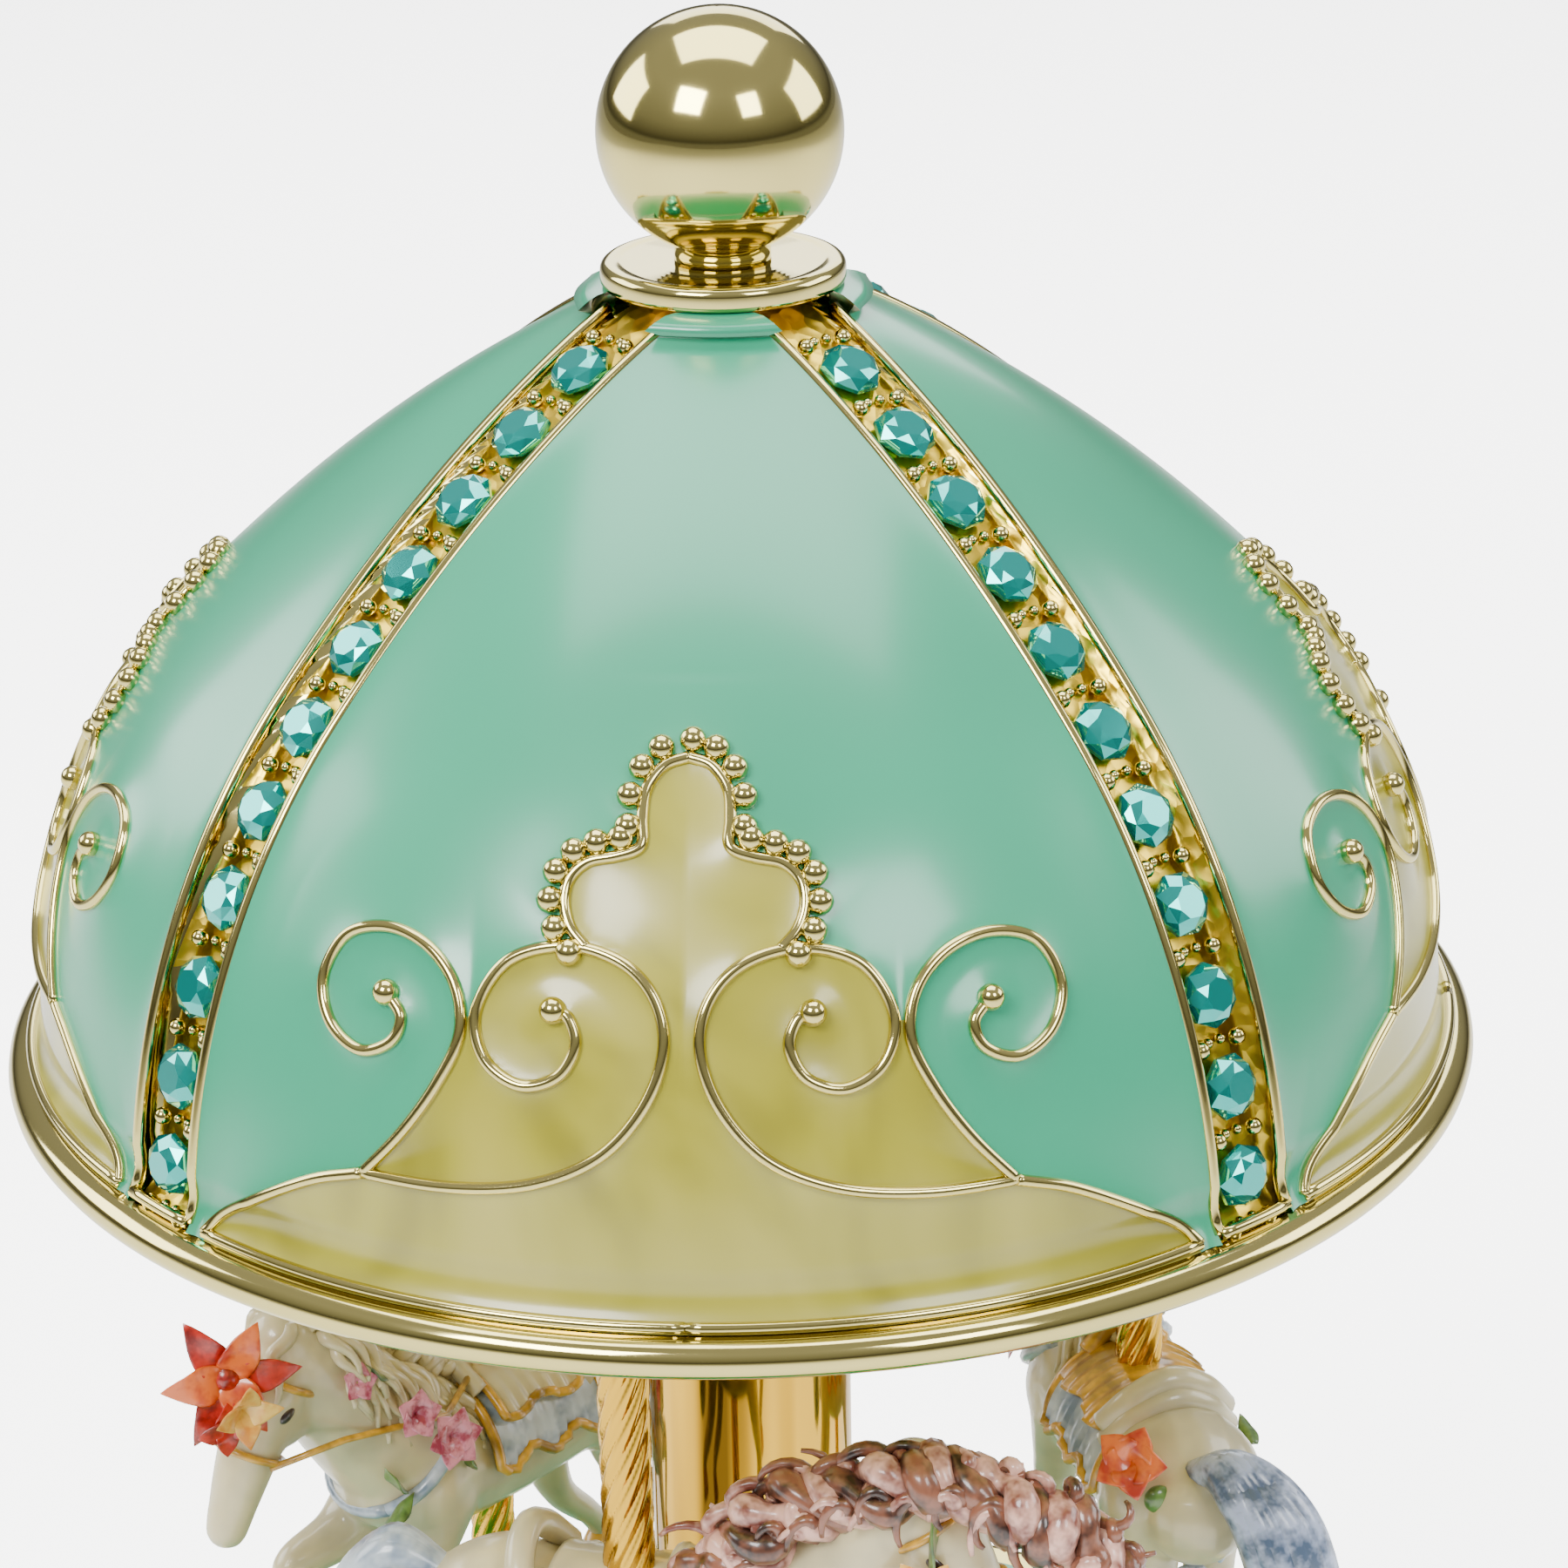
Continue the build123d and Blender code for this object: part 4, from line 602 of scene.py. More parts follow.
def channel_line(offset, depth, low, high, steps=90):
    """Line up a rib at a distance from its middle, in the frame of the first rib."""
    heights = profile_heights(low, high, 0.6)
    lines = []
    for height in heights:
        radius = float(dome_radius(height) - depth(height))
        along = math.sqrt(max(radius**2 - offset**2, 0.01))
        direction = Vector((1, -1, 0)).normalized()
        sideways = Vector((1, 1, 0)).normalized()
        lines.append(tuple(direction * along + sideways * offset + Vector((0, 0, RIM_Z + height))))
    return np.array(lines)


def build_rails(settings):
    """Thin polished edges of the jewelled channels, joined at the foot by a lip."""
    parts = []
    for side in range(4):
        for offset in (-CHANNEL_HALF - 0.12, CHANNEL_HALF + 0.12):
            line = channel_line(offset, lambda z: 0.62 * float(rib_dip(z)) - 0.02, BAND_TOP + 0.4, 39.2)
            parts.append(tube(turned(line, 90 * side), settings.rail_radius, 8))
        foot = [channel_line(o, lambda z: 0.1, BAND_TOP + 0.4, BAND_TOP + 1.2)[0] for o in np.linspace(-2.2, 2.2, 7)]
        parts.append(tube(turned(foot, 90 * side), settings.rail_radius, 8))
    piece = mesh_piece("channel_rails", *merge(parts), [finish("gold")])
    place_piece(piece, "carousel", "gold_plate", "rib_rails")


def round_stone(radius):
    """Round brilliant with sixteen crown facets and a flat table: points with the girdle at z = 0."""
    rings = ((0.30, -0.75, 0.0), (1.0, -0.05, 0.0), (1.0, 0.08, 0.0), (0.80, 0.36, 0.5), (0.52, 0.52, 0.0))
    points = []
    for reach, lift, stagger in rings:
        for step in range(8):
            turn = 2 * math.pi * (step + stagger) / 8
            points.append((radius * reach * math.cos(turn), radius * reach * math.sin(turn), radius * lift))
    faces = [tuple(range(7, -1, -1))]
    for ring in range(4):
        low, high = 8 * ring, 8 * (ring + 1)
        for step in range(8):
            ahead = (step + 1) % 8
            if ring == 2:
                faces += [(low + step, low + ahead, high + step)]
                faces += [(low + ahead, high + ahead, high + step)]
            elif ring == 3:
                behind = (step - 1) % 8
                faces += [(low + step, high + ahead, high + step), (low + behind, low + step, high + step)]
            else:
                faces += [(low + step, low + ahead, high + ahead, high + step)]
    faces.append(tuple(range(32, 40)))
    return np.array(points), faces


def seated(points, origin, normal, spin=0.0):
    """Points laid on a place with their +Z along the normal."""
    turn = Vector(normal).to_track_quat("Z", "Y").to_matrix() @ Matrix.Rotation(spin, 3, "Z")
    return np.asarray(points) @ np.array(turn).T + np.asarray(origin)


def rib_seats(count, pitch, first, depth):
    """Places up a rib at an even pitch: (distance-based height, radius, slope)."""
    fine = np.linspace(1.0, 39.5, 3000)
    radius = dome_radius(fine) - rib_dip(fine) - depth
    length = np.concatenate([[0], np.cumsum(np.hypot(np.diff(fine), np.diff(radius)))])
    start = np.interp(first, fine, length)
    seats = []
    for number in np.arange(count):
        where = start + number * pitch
        height = np.interp(where, length, fine)
        ahead = np.interp(where + 0.5, length, fine) - np.interp(where - 0.5, length, fine)
        seats.append((height, float(np.interp(height, fine, radius)), math.acos(min(ahead, 1.0))))
    return seats


def build_stones(settings):
    """Aqua stones up the four ribs, each held by prongs that share the gaps between stones."""
    stone_points, stone_faces = round_stone(settings.stone_radius)
    stones = []
    prongs = []
    for side in range(4):
        around = math.radians(-45 + 90 * side)
        for number, (height, radius, slope) in enumerate(rib_seats(11, settings.stone_pitch, 4.3, 0.15)):
            normal = (math.cos(around) * math.cos(slope), math.sin(around) * math.cos(slope), math.sin(slope))
            origin = (radius * math.cos(around), radius * math.sin(around), RIM_Z + height)
            stones.append((seated(stone_points, origin, normal, 0.35 * number), stone_faces))
        spots = rib_seats(12, settings.stone_pitch, 4.3 - settings.stone_pitch / 2 * 0.98, 0.25)
        for height, radius, slope in spots:
            for offset in (-1.15, -0.35, 0.45, 1.2):
                lift = 0.0 if abs(offset) > 1 else -0.35
                size = 0.42 if abs(offset) > 1 else 0.26
                reach = radius + lift
                x = reach * math.cos(around) - offset * math.sin(around)
                y = reach * math.sin(around) + offset * math.cos(around)
                prongs.append(ball((x, y, RIM_Z + height), size, 8, 12))
    piece = mesh_piece("canopy_crystals", *merge(stones), [finish("crystal")], smooth=False)
    place_piece(piece, "carousel", "aqua_crystal", "canopy_stones")
    claws = mesh_piece("crystal_prongs", *merge(prongs), [finish("gold")])
    place_piece(claws, "carousel", "gold_plate", "stone_prongs")


def build_beads(settings):
    """Gold grains soldered round the trefoil of each panel."""
    edge = smooth_path(TREFOIL, 30)
    normal = np.gradient(edge, axis=0)
    outward = np.column_stack([normal[:, 1], -normal[:, 0]])
    outward /= np.linalg.norm(outward, axis=1)[:, None]
    outward *= np.sign(outward[:, :1] * (edge[:, :1] + 0.01) + outward[:, 1:] * (edge[:, 1:] - 21.0) + 1e-9)
    line = edge + outward * (settings.wire_radius + 0.55 * settings.bead_radius)
    length = np.concatenate([[0], np.cumsum(np.hypot(*np.diff(line, axis=0).T))])
    gap = 1.75 * settings.bead_radius
    places = np.arange(0, length[-1], gap)
    row = np.column_stack([np.interp(places, length, line[:, 0]), np.interp(places, length, line[:, 1])])
    spots = np.vstack([row, row[1:] * np.array([-1, 1])])
    beads = []
    for side in range(4):
        for centre in on_canopy(spots, 0.12, 90 * side):
            beads.append(ball(centre, settings.bead_radius, 8, 12))
    piece = mesh_piece("trefoil_beads", *merge(beads), [finish("gold")])
    place_piece(piece, "carousel", "gold_plate", "canopy_beads")


def build_finial():
    """Turned collar with concentric tool rings, and the polished ball on its short neck."""
    top = COLLAR_TOP
    rings = []
    for radius in np.arange(COLLAR_RADIUS - 0.9, 2.2, -0.4):
        rings += [(radius, top - 0.02), (radius - 0.2, top - 0.1)]
    collar = [(0.5, COLLAR_LOW)] + arc((COLLAR_RADIUS - 0.3, COLLAR_LOW + 0.3), 0.3, -90, 0, 5)
    collar += arc((COLLAR_RADIUS - 0.45, top - 0.45), 0.45, 0, 90, 7) + rings + [(0.5, top - 0.1)]
    piece = mesh_piece("finial_collar", *lathe([(r, RIM_Z + z) for r, z in collar], 128), [finish("gold")])
    place_piece(piece, "carousel", "gold_plate", "finial_washer")
    neck_angle = -math.degrees(math.acos(2.35 / BALL_RADIUS))
    neck = [(2.35, top), (2.35, top + 0.3)]
    profile = [(0.5, top)] + neck + arc((0, BALL_CENTRE), BALL_RADIUS, neck_angle, 89.5, 60)
    knob = mesh_piece("finial_knob", *lathe([(r, RIM_Z + z) for r, z in profile], 128), [finish("gold")])
    place_piece(knob, "carousel", "gold_plate", "finial_ball")


# ---------------------------------------------------------------- poles and horses
def pole_place(name):
    """Centre of a pole, in millimetres, and its angle round from the front towards +X, in degrees."""
    low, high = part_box(f"pole_{name}")
    x, y = (low.x + high.x) / 2 / MM, (low.y + high.y) / 2 / MM
    return x, y, math.degrees(math.atan2(x, -y))


def build_poles(settings):
    """Rope-twisted poles: strands wound round each other, stopping 3.4 mm short of each pole's top."""
    for name in POLES:
        x, y, _ = pole_place(name)
        low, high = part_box(f"pole_{name}")
        radius = (high.x - low.x) / 2 / MM
        heights = np.arange(low.z / MM, high.z / MM - 3.4, 0.3)
        turns = np.linspace(0, 2 * math.pi, 108, endpoint=False)
        points = []
        for height in heights:
            twist = 2 * math.pi * height / settings.twist_pitch
            strands = np.abs(np.sin(settings.strands * (turns - twist) / 2)) ** 0.7
            fine = 0.02 * np.sin(3 * settings.strands * (turns - twist))
            reach = radius * (0.80 + 0.19 * strands + fine * strands)
            points += [(x + r * math.cos(t), y + r * math.sin(t), height) for r, t in zip(reach, turns)]
        faces = grid_faces(len(heights), len(turns), closed=True)
        rope = mesh_piece(f"pole_{name}_rope", np.array(points), faces, [finish("brass_tube")])
        place_piece(rope, "carousel", "gold_plate", f"pole_{name}")


def sculpt(name, parts, material, voxel=0.26, smoothing=6):
    """Clay-like union of closed parts: remeshed, smoothed and returned as points and faces."""
    points, faces = merge(parts)
    mesh = bpy.data.meshes.new(name)
    mesh.from_pydata([tuple(p) for p in points], [], faces)
    clay = bpy.data.objects.new(name, mesh)
    bpy.context.scene.collection.objects.link(clay)
    remesh = clay.modifiers.new("union", "REMESH")
    remesh.mode = "VOXEL"
    remesh.voxel_size = voxel
    soften = clay.modifiers.new("soften", "SMOOTH")
    soften.factor = 0.5
    soften.iterations = smoothing
    result = bpy.data.meshes.new_from_object(clay.evaluated_get(bpy.context.evaluated_depsgraph_get()))
    out_points = np.empty(len(result.vertices) * 3)
    result.vertices.foreach_get("co", out_points)
    out_faces = [tuple(p.vertices) for p in result.polygons]
    bpy.data.objects.remove(clay)
    return out_points.reshape(-1, 3), out_faces


def limb(path, radii, steps=6):
    """Muscle or bone along a smooth path, with rounded ends."""
    line = smooth_path(path, steps)
    places = np.linspace(0, len(path) - 1, len(line))
    sizes = np.interp(places, np.arange(len(path)), radii)
    parts = [tube(line, sizes, 16), ball(line[0], sizes[0], 10, 16), ball(line[-1], sizes[-1], 10, 16)]
    return parts


def squashed(centre, radii, turn=None):
    """Ball stretched along its own axes and turned by a rotation matrix."""
    points, faces = ball((0, 0, 0), 1.0, 12, 16)
    points = points * np.array(radii)
    if turn is not None:
        points = points @ np.array(turn).T
    return points + np.array(centre), faces


NECK = ((5.5, 1.0), (8.3, 3.6), (11.2, 7.0), (13.3, 10.0), (14.4, 11.8))
NECK_RADII = (4.1, 3.8, 3.1, 2.6, 2.0)
FORE_LEGS = (((6.2, -1.0), (9.6, -3.4), (13.4, -4.2), (12.2, -7.2), (11.2, -8.8)),
             ((5.6, -1.0), (7.2, -4.8), (8.6, -7.8), (8.1, -10.8), (8.0, -12.6)))
HIND_LEGS = (((-7.0, 0.2), (-5.9, -4.0), (-6.9, -7.8), (-9.4, -10.6), (-10.4, -12.2)),
             ((-7.6, 0.2), (-8.0, -3.6), (-9.8, -6.8), (-12.3, -9.2), (-13.4, -10.6)))
LEG_RADII = (2.3, 1.6, 1.05, 0.8, 0.75)


def horse_body():
    """Clay of a prancing horse: trunk, arched neck, long lowered head and legs."""
    parts = limb([(-9.6, 0, 0.8), (-7.0, 0, 1.0), (-3.0, 0, 0.2), (1.0, 0, -0.3), (5.2, 0, 0.2), (7.4, 0, 0.6)],
                 [3.0, 4.3, 4.0, 3.8, 4.2, 3.4])
    parts += limb([(x, 0, z) for x, z in NECK], NECK_RADII)
    parts += limb([(13.9, 0, 11.3), (15.5, 0, 9.0), (17.2, 0, 5.9), (18.5, 0, 3.1), (19.0, 0, 1.9)],
                  [2.0, 2.3, 1.75, 1.35, 1.2])
    parts.append(squashed((15.0, 0, 7.8), (1.9, 2.0, 2.4)))
    for sign in (-1, 1):
        parts.append(squashed((18.9, sign * 0.7, 2.2), (0.55, 0.5, 0.5)))
        parts.append(squashed((-7.0, sign * 2.2, 0.4), (3.0, 2.4, 3.6)))
        parts.append(squashed((6.2, sign * 2.2, 0.0), (2.6, 2.2, 3.2)))
    for legs in (FORE_LEGS, HIND_LEGS):
        for side, leg in zip((-2.1, 2.1), legs):
            parts += limb([(x, side, z) for x, z in leg], LEG_RADII)
    return parts


def horse_ears():
    """Two pointed ears that lean apart."""
    parts = []
    for sign in (-1, 1):
        lean = Matrix.Rotation(-0.1, 3, "Y") @ Matrix.Rotation(sign * -0.2, 3, "X")
        parts.append(blade((13.6, sign * 1.1, 12.4), lean, 2.4, 0.8, 0.1))
    return parts


def horse_hooves():
    """Four painted hooves."""
    parts = []
    for legs in (FORE_LEGS, HIND_LEGS):
        for side, leg in zip((-2.1, 2.1), legs):
            x, z = leg[-1]
            parts.append(tube([(x, side, z + 0.2), (x + 0.4, side, z - 0.8), (x + 0.8, side, z - 1.7)],
                              [0.75, 0.95, 1.15], 14))
    return parts


def curl(root, direction, length, droop, radius, phase, swing=0.7):
    """One lock of hair: it leaves its root, falls and curls, and thins to a point."""
    line = []
    steps = 16
    direction = np.array(direction, float)
    side = np.cross(direction, (0, 0, 1.0))
    for step in range(steps + 1):
        t = step / steps
        along = direction * length * t + np.array((0, 0, -droop * t**1.6))
        wave = swing * t**0.5 * np.array((math.cos(phase + 7 * t), 0, math.sin(phase + 7 * t)))
        line.append(np.array(root) + along + wave * 0.5 + side * 0.25 * math.sin(phase + 9 * t))
    sizes = radius * (1 - 0.75 * np.linspace(0, 1, steps + 1) ** 2)
    return tube(line, sizes, 8)


def horse_mane(thickness):
    """Locks set thickly along the crest of the neck and over the forehead."""
    crest = smooth_path([(x, z) for x, z in NECK], 10)
    reach = np.interp(np.linspace(0, 4, len(crest)), range(5), NECK_RADII)
    slope = np.gradient(crest, axis=0)
    slope /= np.linalg.norm(slope, axis=1)[:, None]
    parts = []
    for number, (centre, size, step) in enumerate(zip(crest, reach, slope)):
        up = np.array((-step[1], step[0]))
        for sign in (-1, 1):
            root = (centre[0] + up[0] * size * 0.92, sign * 0.5, centre[1] + up[1] * size * 0.92)
            lean = (-0.25 + 0.15 * math.sin(number * 2.1), sign * 0.75, 0.35)
            parts.append(curl(root, lean, 4.0, 5.5 + 1.5 * math.sin(number * 1.7), thickness, number * 1.3 + sign))
        ridge = (centre[0] + up[0] * (size + 0.3), 0.5 * math.sin(number), centre[1] + up[1] * (size + 0.3))
        parts.append(curl(ridge, (-0.8, 0.2 * math.sin(number * 3), 0.5), 2.6, 1.8, thickness, number * 2.0))
    for number in range(6):
        parts.append(curl((14.6, -1.0 + 0.4 * number, 13.0), (0.8, -0.3 + 0.12 * number, 0.1), 3.0, 4.0,
                          thickness * 0.9, number * 1.9))
    return parts


GARLAND = ((3.6, 2.6), (5.6, 6.4), (9.0, 9.6), (13.2, 11.4), (17.4, 11.7), (21.4, 10.2), (24.2, 7.6), (25.6, 4.4))


def curled_mane(strand):
    """Heavy mane of twisted locks that arches over the whole neck and past the brow; strand picks half of them."""
    spine = smooth_path([(x, -1.2 - 0.5 * math.sin(x / 6), z + 0.6) for x, z in GARLAND], 14)
    ahead = np.gradient(spine, axis=0)
    ahead /= np.linalg.norm(ahead, axis=1)[:, None]
    across = np.array((0, 1.0, 0))
    parts = []
    for rope in range(2):
        phase = math.pi * (rope + 0.5 * strand)
        line = []
        for number, (centre, direction) in enumerate(zip(spine, ahead)):
            turn = 0.34 * number + phase + 0.5 * math.sin(number * 0.37)
            reach = 1.1 + 0.35 * math.sin(number * 0.61 + 2 * rope + strand)
            line.append(centre + reach * (math.cos(turn) * across + math.sin(turn) * np.cross(direction, across)))
        parts.append(tube(line, 0.74 + 0.18 * np.sin(np.arange(len(line)) * 0.9 + rope), 10))
    for number in range(strand, len(spine) - 4, 6):
        root = spine[number] + np.array((0, -0.8, 0.4))
        lean = (0.25 * math.sin(number), -0.45, 0.1)
        parts.append(curl(root, lean, 2.2, 1.6 + 0.7 * math.sin(number * 1.7), 0.5, number * 1.1, 1.5))
        top = spine[number] + np.array((0, 0.2, 1.0))
        parts.append(curl(top, (1.3 * math.sin(number * 2.0), 0.2, 0.5), 2.0, 1.1, 0.46, number * 0.7, 1.7))
    return parts


def horse_tail(swing, fullness):
    """Full tail that springs from the croup, arches and hangs in heavy locks, swung to one side."""
    parts = []
    for number in range(13):
        phase = number * 2.4
        out = 0.9 * fullness * math.cos(phase)
        side = 1.1 * fullness * math.sin(phase)
        line = smooth_path([(-9.6, 0.2 * side, 3.2), (-12.2, 0.5 * side + 0.25 * swing, 4.2 + 0.3 * out),
                            (-14.2 + 0.5 * out, 0.9 * side + 0.6 * swing, 2.0),
                            (-15.0 + 0.7 * out, side + 0.85 * swing, -2.4),
                            (-14.8 + out, 1.1 * side + swing, -6.4), (-15.4 + out, 0.8 * side + 1.1 * swing, -8.6)], 8)
        sizes = np.interp(np.linspace(0, 1, len(line)), (0, 0.3, 0.8, 1), (0.6, 1.0, 0.75, 0.15))
        parts.append(tube(line, sizes * (0.9 + 0.1 * fullness), 10))
    return parts


def cloth_patch(start, end, half_angle, radius, lift, waves):
    """Cloth over the horse's back: a curved sheet with a scalloped lower edge."""
    points = []
    rows, columns = 26, 41
    for x in np.linspace(start, end, rows):
        spread = half_angle * (1 + 0.07 * math.sin(waves * math.pi * (x - start) / (end - start)))
        for t in np.linspace(-1, 1, columns):
            angle = math.radians(spread) * t
            fold = lift + 0.16 * math.sin(waves * 2.2 * x) * abs(t) ** 2
            reach = radius + fold
            points.append((x, reach * math.sin(angle), reach * math.cos(angle)))
    outer = np.array(points)
    inner = outer - np.column_stack([np.zeros(len(outer)), outer[:, 1], outer[:, 2]]) * 0.09
    faces = grid_faces(rows, columns)
    count = rows * columns
    faces += [tuple(i + count for i in face[::-1]) for face in grid_faces(rows, columns)]
    rim = list(range(columns)) + [r * columns + columns - 1 for r in range(1, rows)]
    rim += [count - 1 - c for c in range(1, columns)] + [r * columns for r in range(rows - 2, 0, -1)]
    for first, second in zip(rim, rim[1:] + rim[:1]):
        faces.append((second, first, first + count, second + count))
    return np.vstack([outer, inner]), faces, outer[rim]


def ring_strap(centre, normal, radius, thickness, flatten=1.0):
    """Strap or rein that goes round a limb."""
    first = Vector(normal).orthogonal().normalized()
    second = Vector(normal).normalized().cross(first)
    loop = []
    for step in range(33):
        turn = 2 * math.pi * step / 32
        loop.append(Vector(centre) + radius * (first * math.cos(turn) + second * math.sin(turn) * flatten))
    return tube([tuple(p) for p in loop], thickness, 8)


def blade(origin, turn, length, width, bend):
    """Pointed, cupped petal that grows from its origin along the turned +Z and curls back at its tip."""
    rows, columns = 11, 12
    points = []
    for t in np.linspace(0, 1, rows):
        half = width * math.sin(math.pi * (0.08 + 0.92 * t) ** 0.85) + 0.03
        for angle in np.linspace(0, 2 * math.pi, columns, endpoint=False):
            across = half * math.cos(angle)
            outwards = bend * length * t**2 + 0.22 * half * math.sin(angle) - 0.35 * across**2 / width
            outwards += 0.14 * across * math.sin(9 * t + 2 * length)
            points.append(Vector(origin) + turn @ Vector((outwards, across, length * t)))
    faces = grid_faces(rows, columns, closed=True)
    faces += [tuple(range(columns))[::-1], tuple(range(columns * (rows - 1), columns * rows))]
    return np.array(points), faces


def petals(centre, normal, count, length, width, open_angle, spin=0.0):
    """Ring of cupped petals."""
    base = Vector(normal).to_track_quat("Z", "Y").to_matrix()
    parts = []
    for number in range(count):
        turn = base @ Matrix.Rotation(2 * math.pi * number / count + spin, 3, "Z") @ Matrix.Rotation(open_angle, 3, "Y")
        parts.append(blade(centre, turn, 1.75 * length, width, 0.25))
    return parts


def leaf_shape(centre, direction, length, width):
    """Small pointed leaf lying along a direction."""
    turn = Vector(direction).to_track_quat("Z", "X").to_matrix()
    root = Vector(centre) - turn @ Vector((0, 0, length))
    return blade(root, turn, 2 * length, width, 0.05)


def horse_trim(name):
    """Painted trim of each horse: {finish: parts}."""
    blanket, _, rim = cloth_patch(-5.4, 2.8, 84, 4.0, 0.45, 5)
    blanket_faces = cloth_patch(-5.4, 2.8, 84, 4.0, 0.45, 5)[1]
    seat, seat_faces, seat_rim = cloth_patch(-3.8, 2.0, 50, 4.3, 0.75, 3)
    edge = np.vstack([rim, rim[:1]])
    cantle = tube(smooth_path([(-4.2, -3.4, 3.6), (-5.0, -2.0, 5.4), (-5.2, 0, 6.3), (-5.0, 2.0, 5.4), (-4.2, 3.4, 3.6)]),
                  0.75, 12)
    pommel = tube(smooth_path([(2.3, -2.2, 4.3), (2.8, 0, 5.8), (2.3, 2.2, 4.3)]), 0.6, 12)
    breast = ring_strap((7.2, 0, 1.9), (0.62, 0, 0.78), 4.0, 0.42)
    bridle = [ring_strap((17.1, 0, 5.9), (0.5, 0, -0.87), 1.95, 0.22), ring_strap((15.0, 0, 9.6), (0.55, 0, -0.84), 2.3, 0.22)]
    bridle += [tube([(17.2, s * 1.9, 5.6), (13.0, s * 3.3, 6.2), (6.0, s * 3.6, 4.9), (2.6, s * 1.6, 5.2)], 0.2, 8)
               for s in (-1, 1)]
    eyes = [squashed((15.9, s * 2.05, 8.5), (0.62, 0.25, 0.36), Matrix.Rotation(0.7, 3, "Y")) for s in (-1, 1)]
    edge_tube = tube(edge, 0.32, 8)
    trim = {"dark": eyes, "gold_paint": bridle + [edge_tube], "saddle_blue": [(blanket, blanket_faces)]}
    if name == "left":
        trim["horse_white"] = [(seat, seat_faces), cantle, pommel]
        trim["gold_paint"] += [tube(np.vstack([seat_rim, seat_rim[:1]]), 0.28, 8)]
        trim["saddle_blue"].append(breast)
        lily = (19.2, 1.2, 11.9)
        trim["flower_red"] = petals(lily, (0.45, 0.85, 0.1), 3, 2.3, 1.0, 1.25) + [squashed(lily, (0.8, 0.8, 0.8))]
        trim["flower_orange"] = petals(lily, (0.45, 0.85, 0.1), 3, 2.1, 1.1, 1.1, math.pi / 3)
        trim["flower_yellow"] = petals((19.4, 2.6, 10.6), (0.2, 0.95, -0.1), 4, 1.3, 0.8, 0.8)
        trim["flower_red"] += petals((20.0, 1.8, 9.4), (0.2, 0.95, -0.1), 4, 1.0, 0.7, 1.1)
        trim["flower_pink"] = petals((6.5, 4.3, 4.0), (0.1, 1, 0.3), 6, 1.1, 0.9, 0.9)
        trim["flower_pink"] += petals((8.6, 3.9, 6.2), (0.1, 1, 0.3), 5, 0.9, 0.8, 0.9)
        trim["flower_pink"] += petals((11.8, 3.0, 9.2), (0.1, 1, 0.3), 5, 0.7, 0.6, 0.9)
        trim["leaf"] = [leaf_shape((10.2, 3.9, 2.6), (1, 0, 1.4), 1.3, 0.6), leaf_shape((10.0, 4.0, 0.6), (-1, 0, 0.6), 1.3, 0.6),
                        leaf_shape((5.2, 4.4, 2.2), (0.4, 0, 1), 1.0, 0.6), leaf_shape((10.6, 3.3, 9.4), (1, 0, 1), 1.0, 0.5)]
    if name == "front":
        trim["horse_white"] = [(seat, seat_faces), cantle, pommel]
        trim["gold_paint"] += [breast]
        trim["leaf"] = [leaf_shape((15.9, -2.3, 9.8), (0.1, 0, 1), 2.2, 0.7), leaf_shape((10.4, -3.3, 4.0), (1, 0, 0.4), 1.4, 0.7)]
        trim["flower_yellow"] = petals((15.5, -2.5, 6.9), (0.2, -1, 0.2), 6, 1.3, 0.9, 1.0)
        trim["flower_orange"] = [squashed((15.5, -2.9, 6.9), (0.7, 0.5, 0.7))]
        trim["flower_pink"] = petals((8.2, -4.1, 2.8), (0.1, -1, 0.2), 6, 1.1, 0.9, 0.9)
    if name == "right":
        trim["gold_paint"] += [(seat, seat_faces), pommel]
        trim["saddle_blue"].append(breast)
        trim["horse_white"] = [cantle, ((cantle[0] + np.array((-0.5, 0, -0.9))), cantle[1])]
        trim["flower_orange"] = petals((-8.8, 3.4, 3.9), (-0.8, 0.5, 0.4), 5, 1.2, 1.1, 1.0)
        trim["leaf"] = [squashed((-10.2, 2.4, 2.2), (0.5, 0.8, 0.8)), leaf_shape((-3.8, -5.0, 1.6), (1, 0, 0.2), 1.2, 0.5)]
        trim["tail_blue"] = [squashed((-10.9, -0.9, -0.4), (0.35, 0.45, 1.5)), squashed((-10.4, -1.9, 1.6), (0.4, 0.4, 1.3)),
                             squashed((-10.3, 0.6, -2.6), (0.4, 1.0, 0.5))]
        trim["flower_pink"] = petals((7.4, 4.2, 3.4), (0.1, 1, 0.2), 6, 1.1, 0.9, 0.9)
    return trim


TAIL_FINISH = {"front": "saddle_blue", "right": "tail_blue", "left": "horse_white"}
TAIL_SWING = {"front": 0.0, "right": -4.6, "left": 0.0}


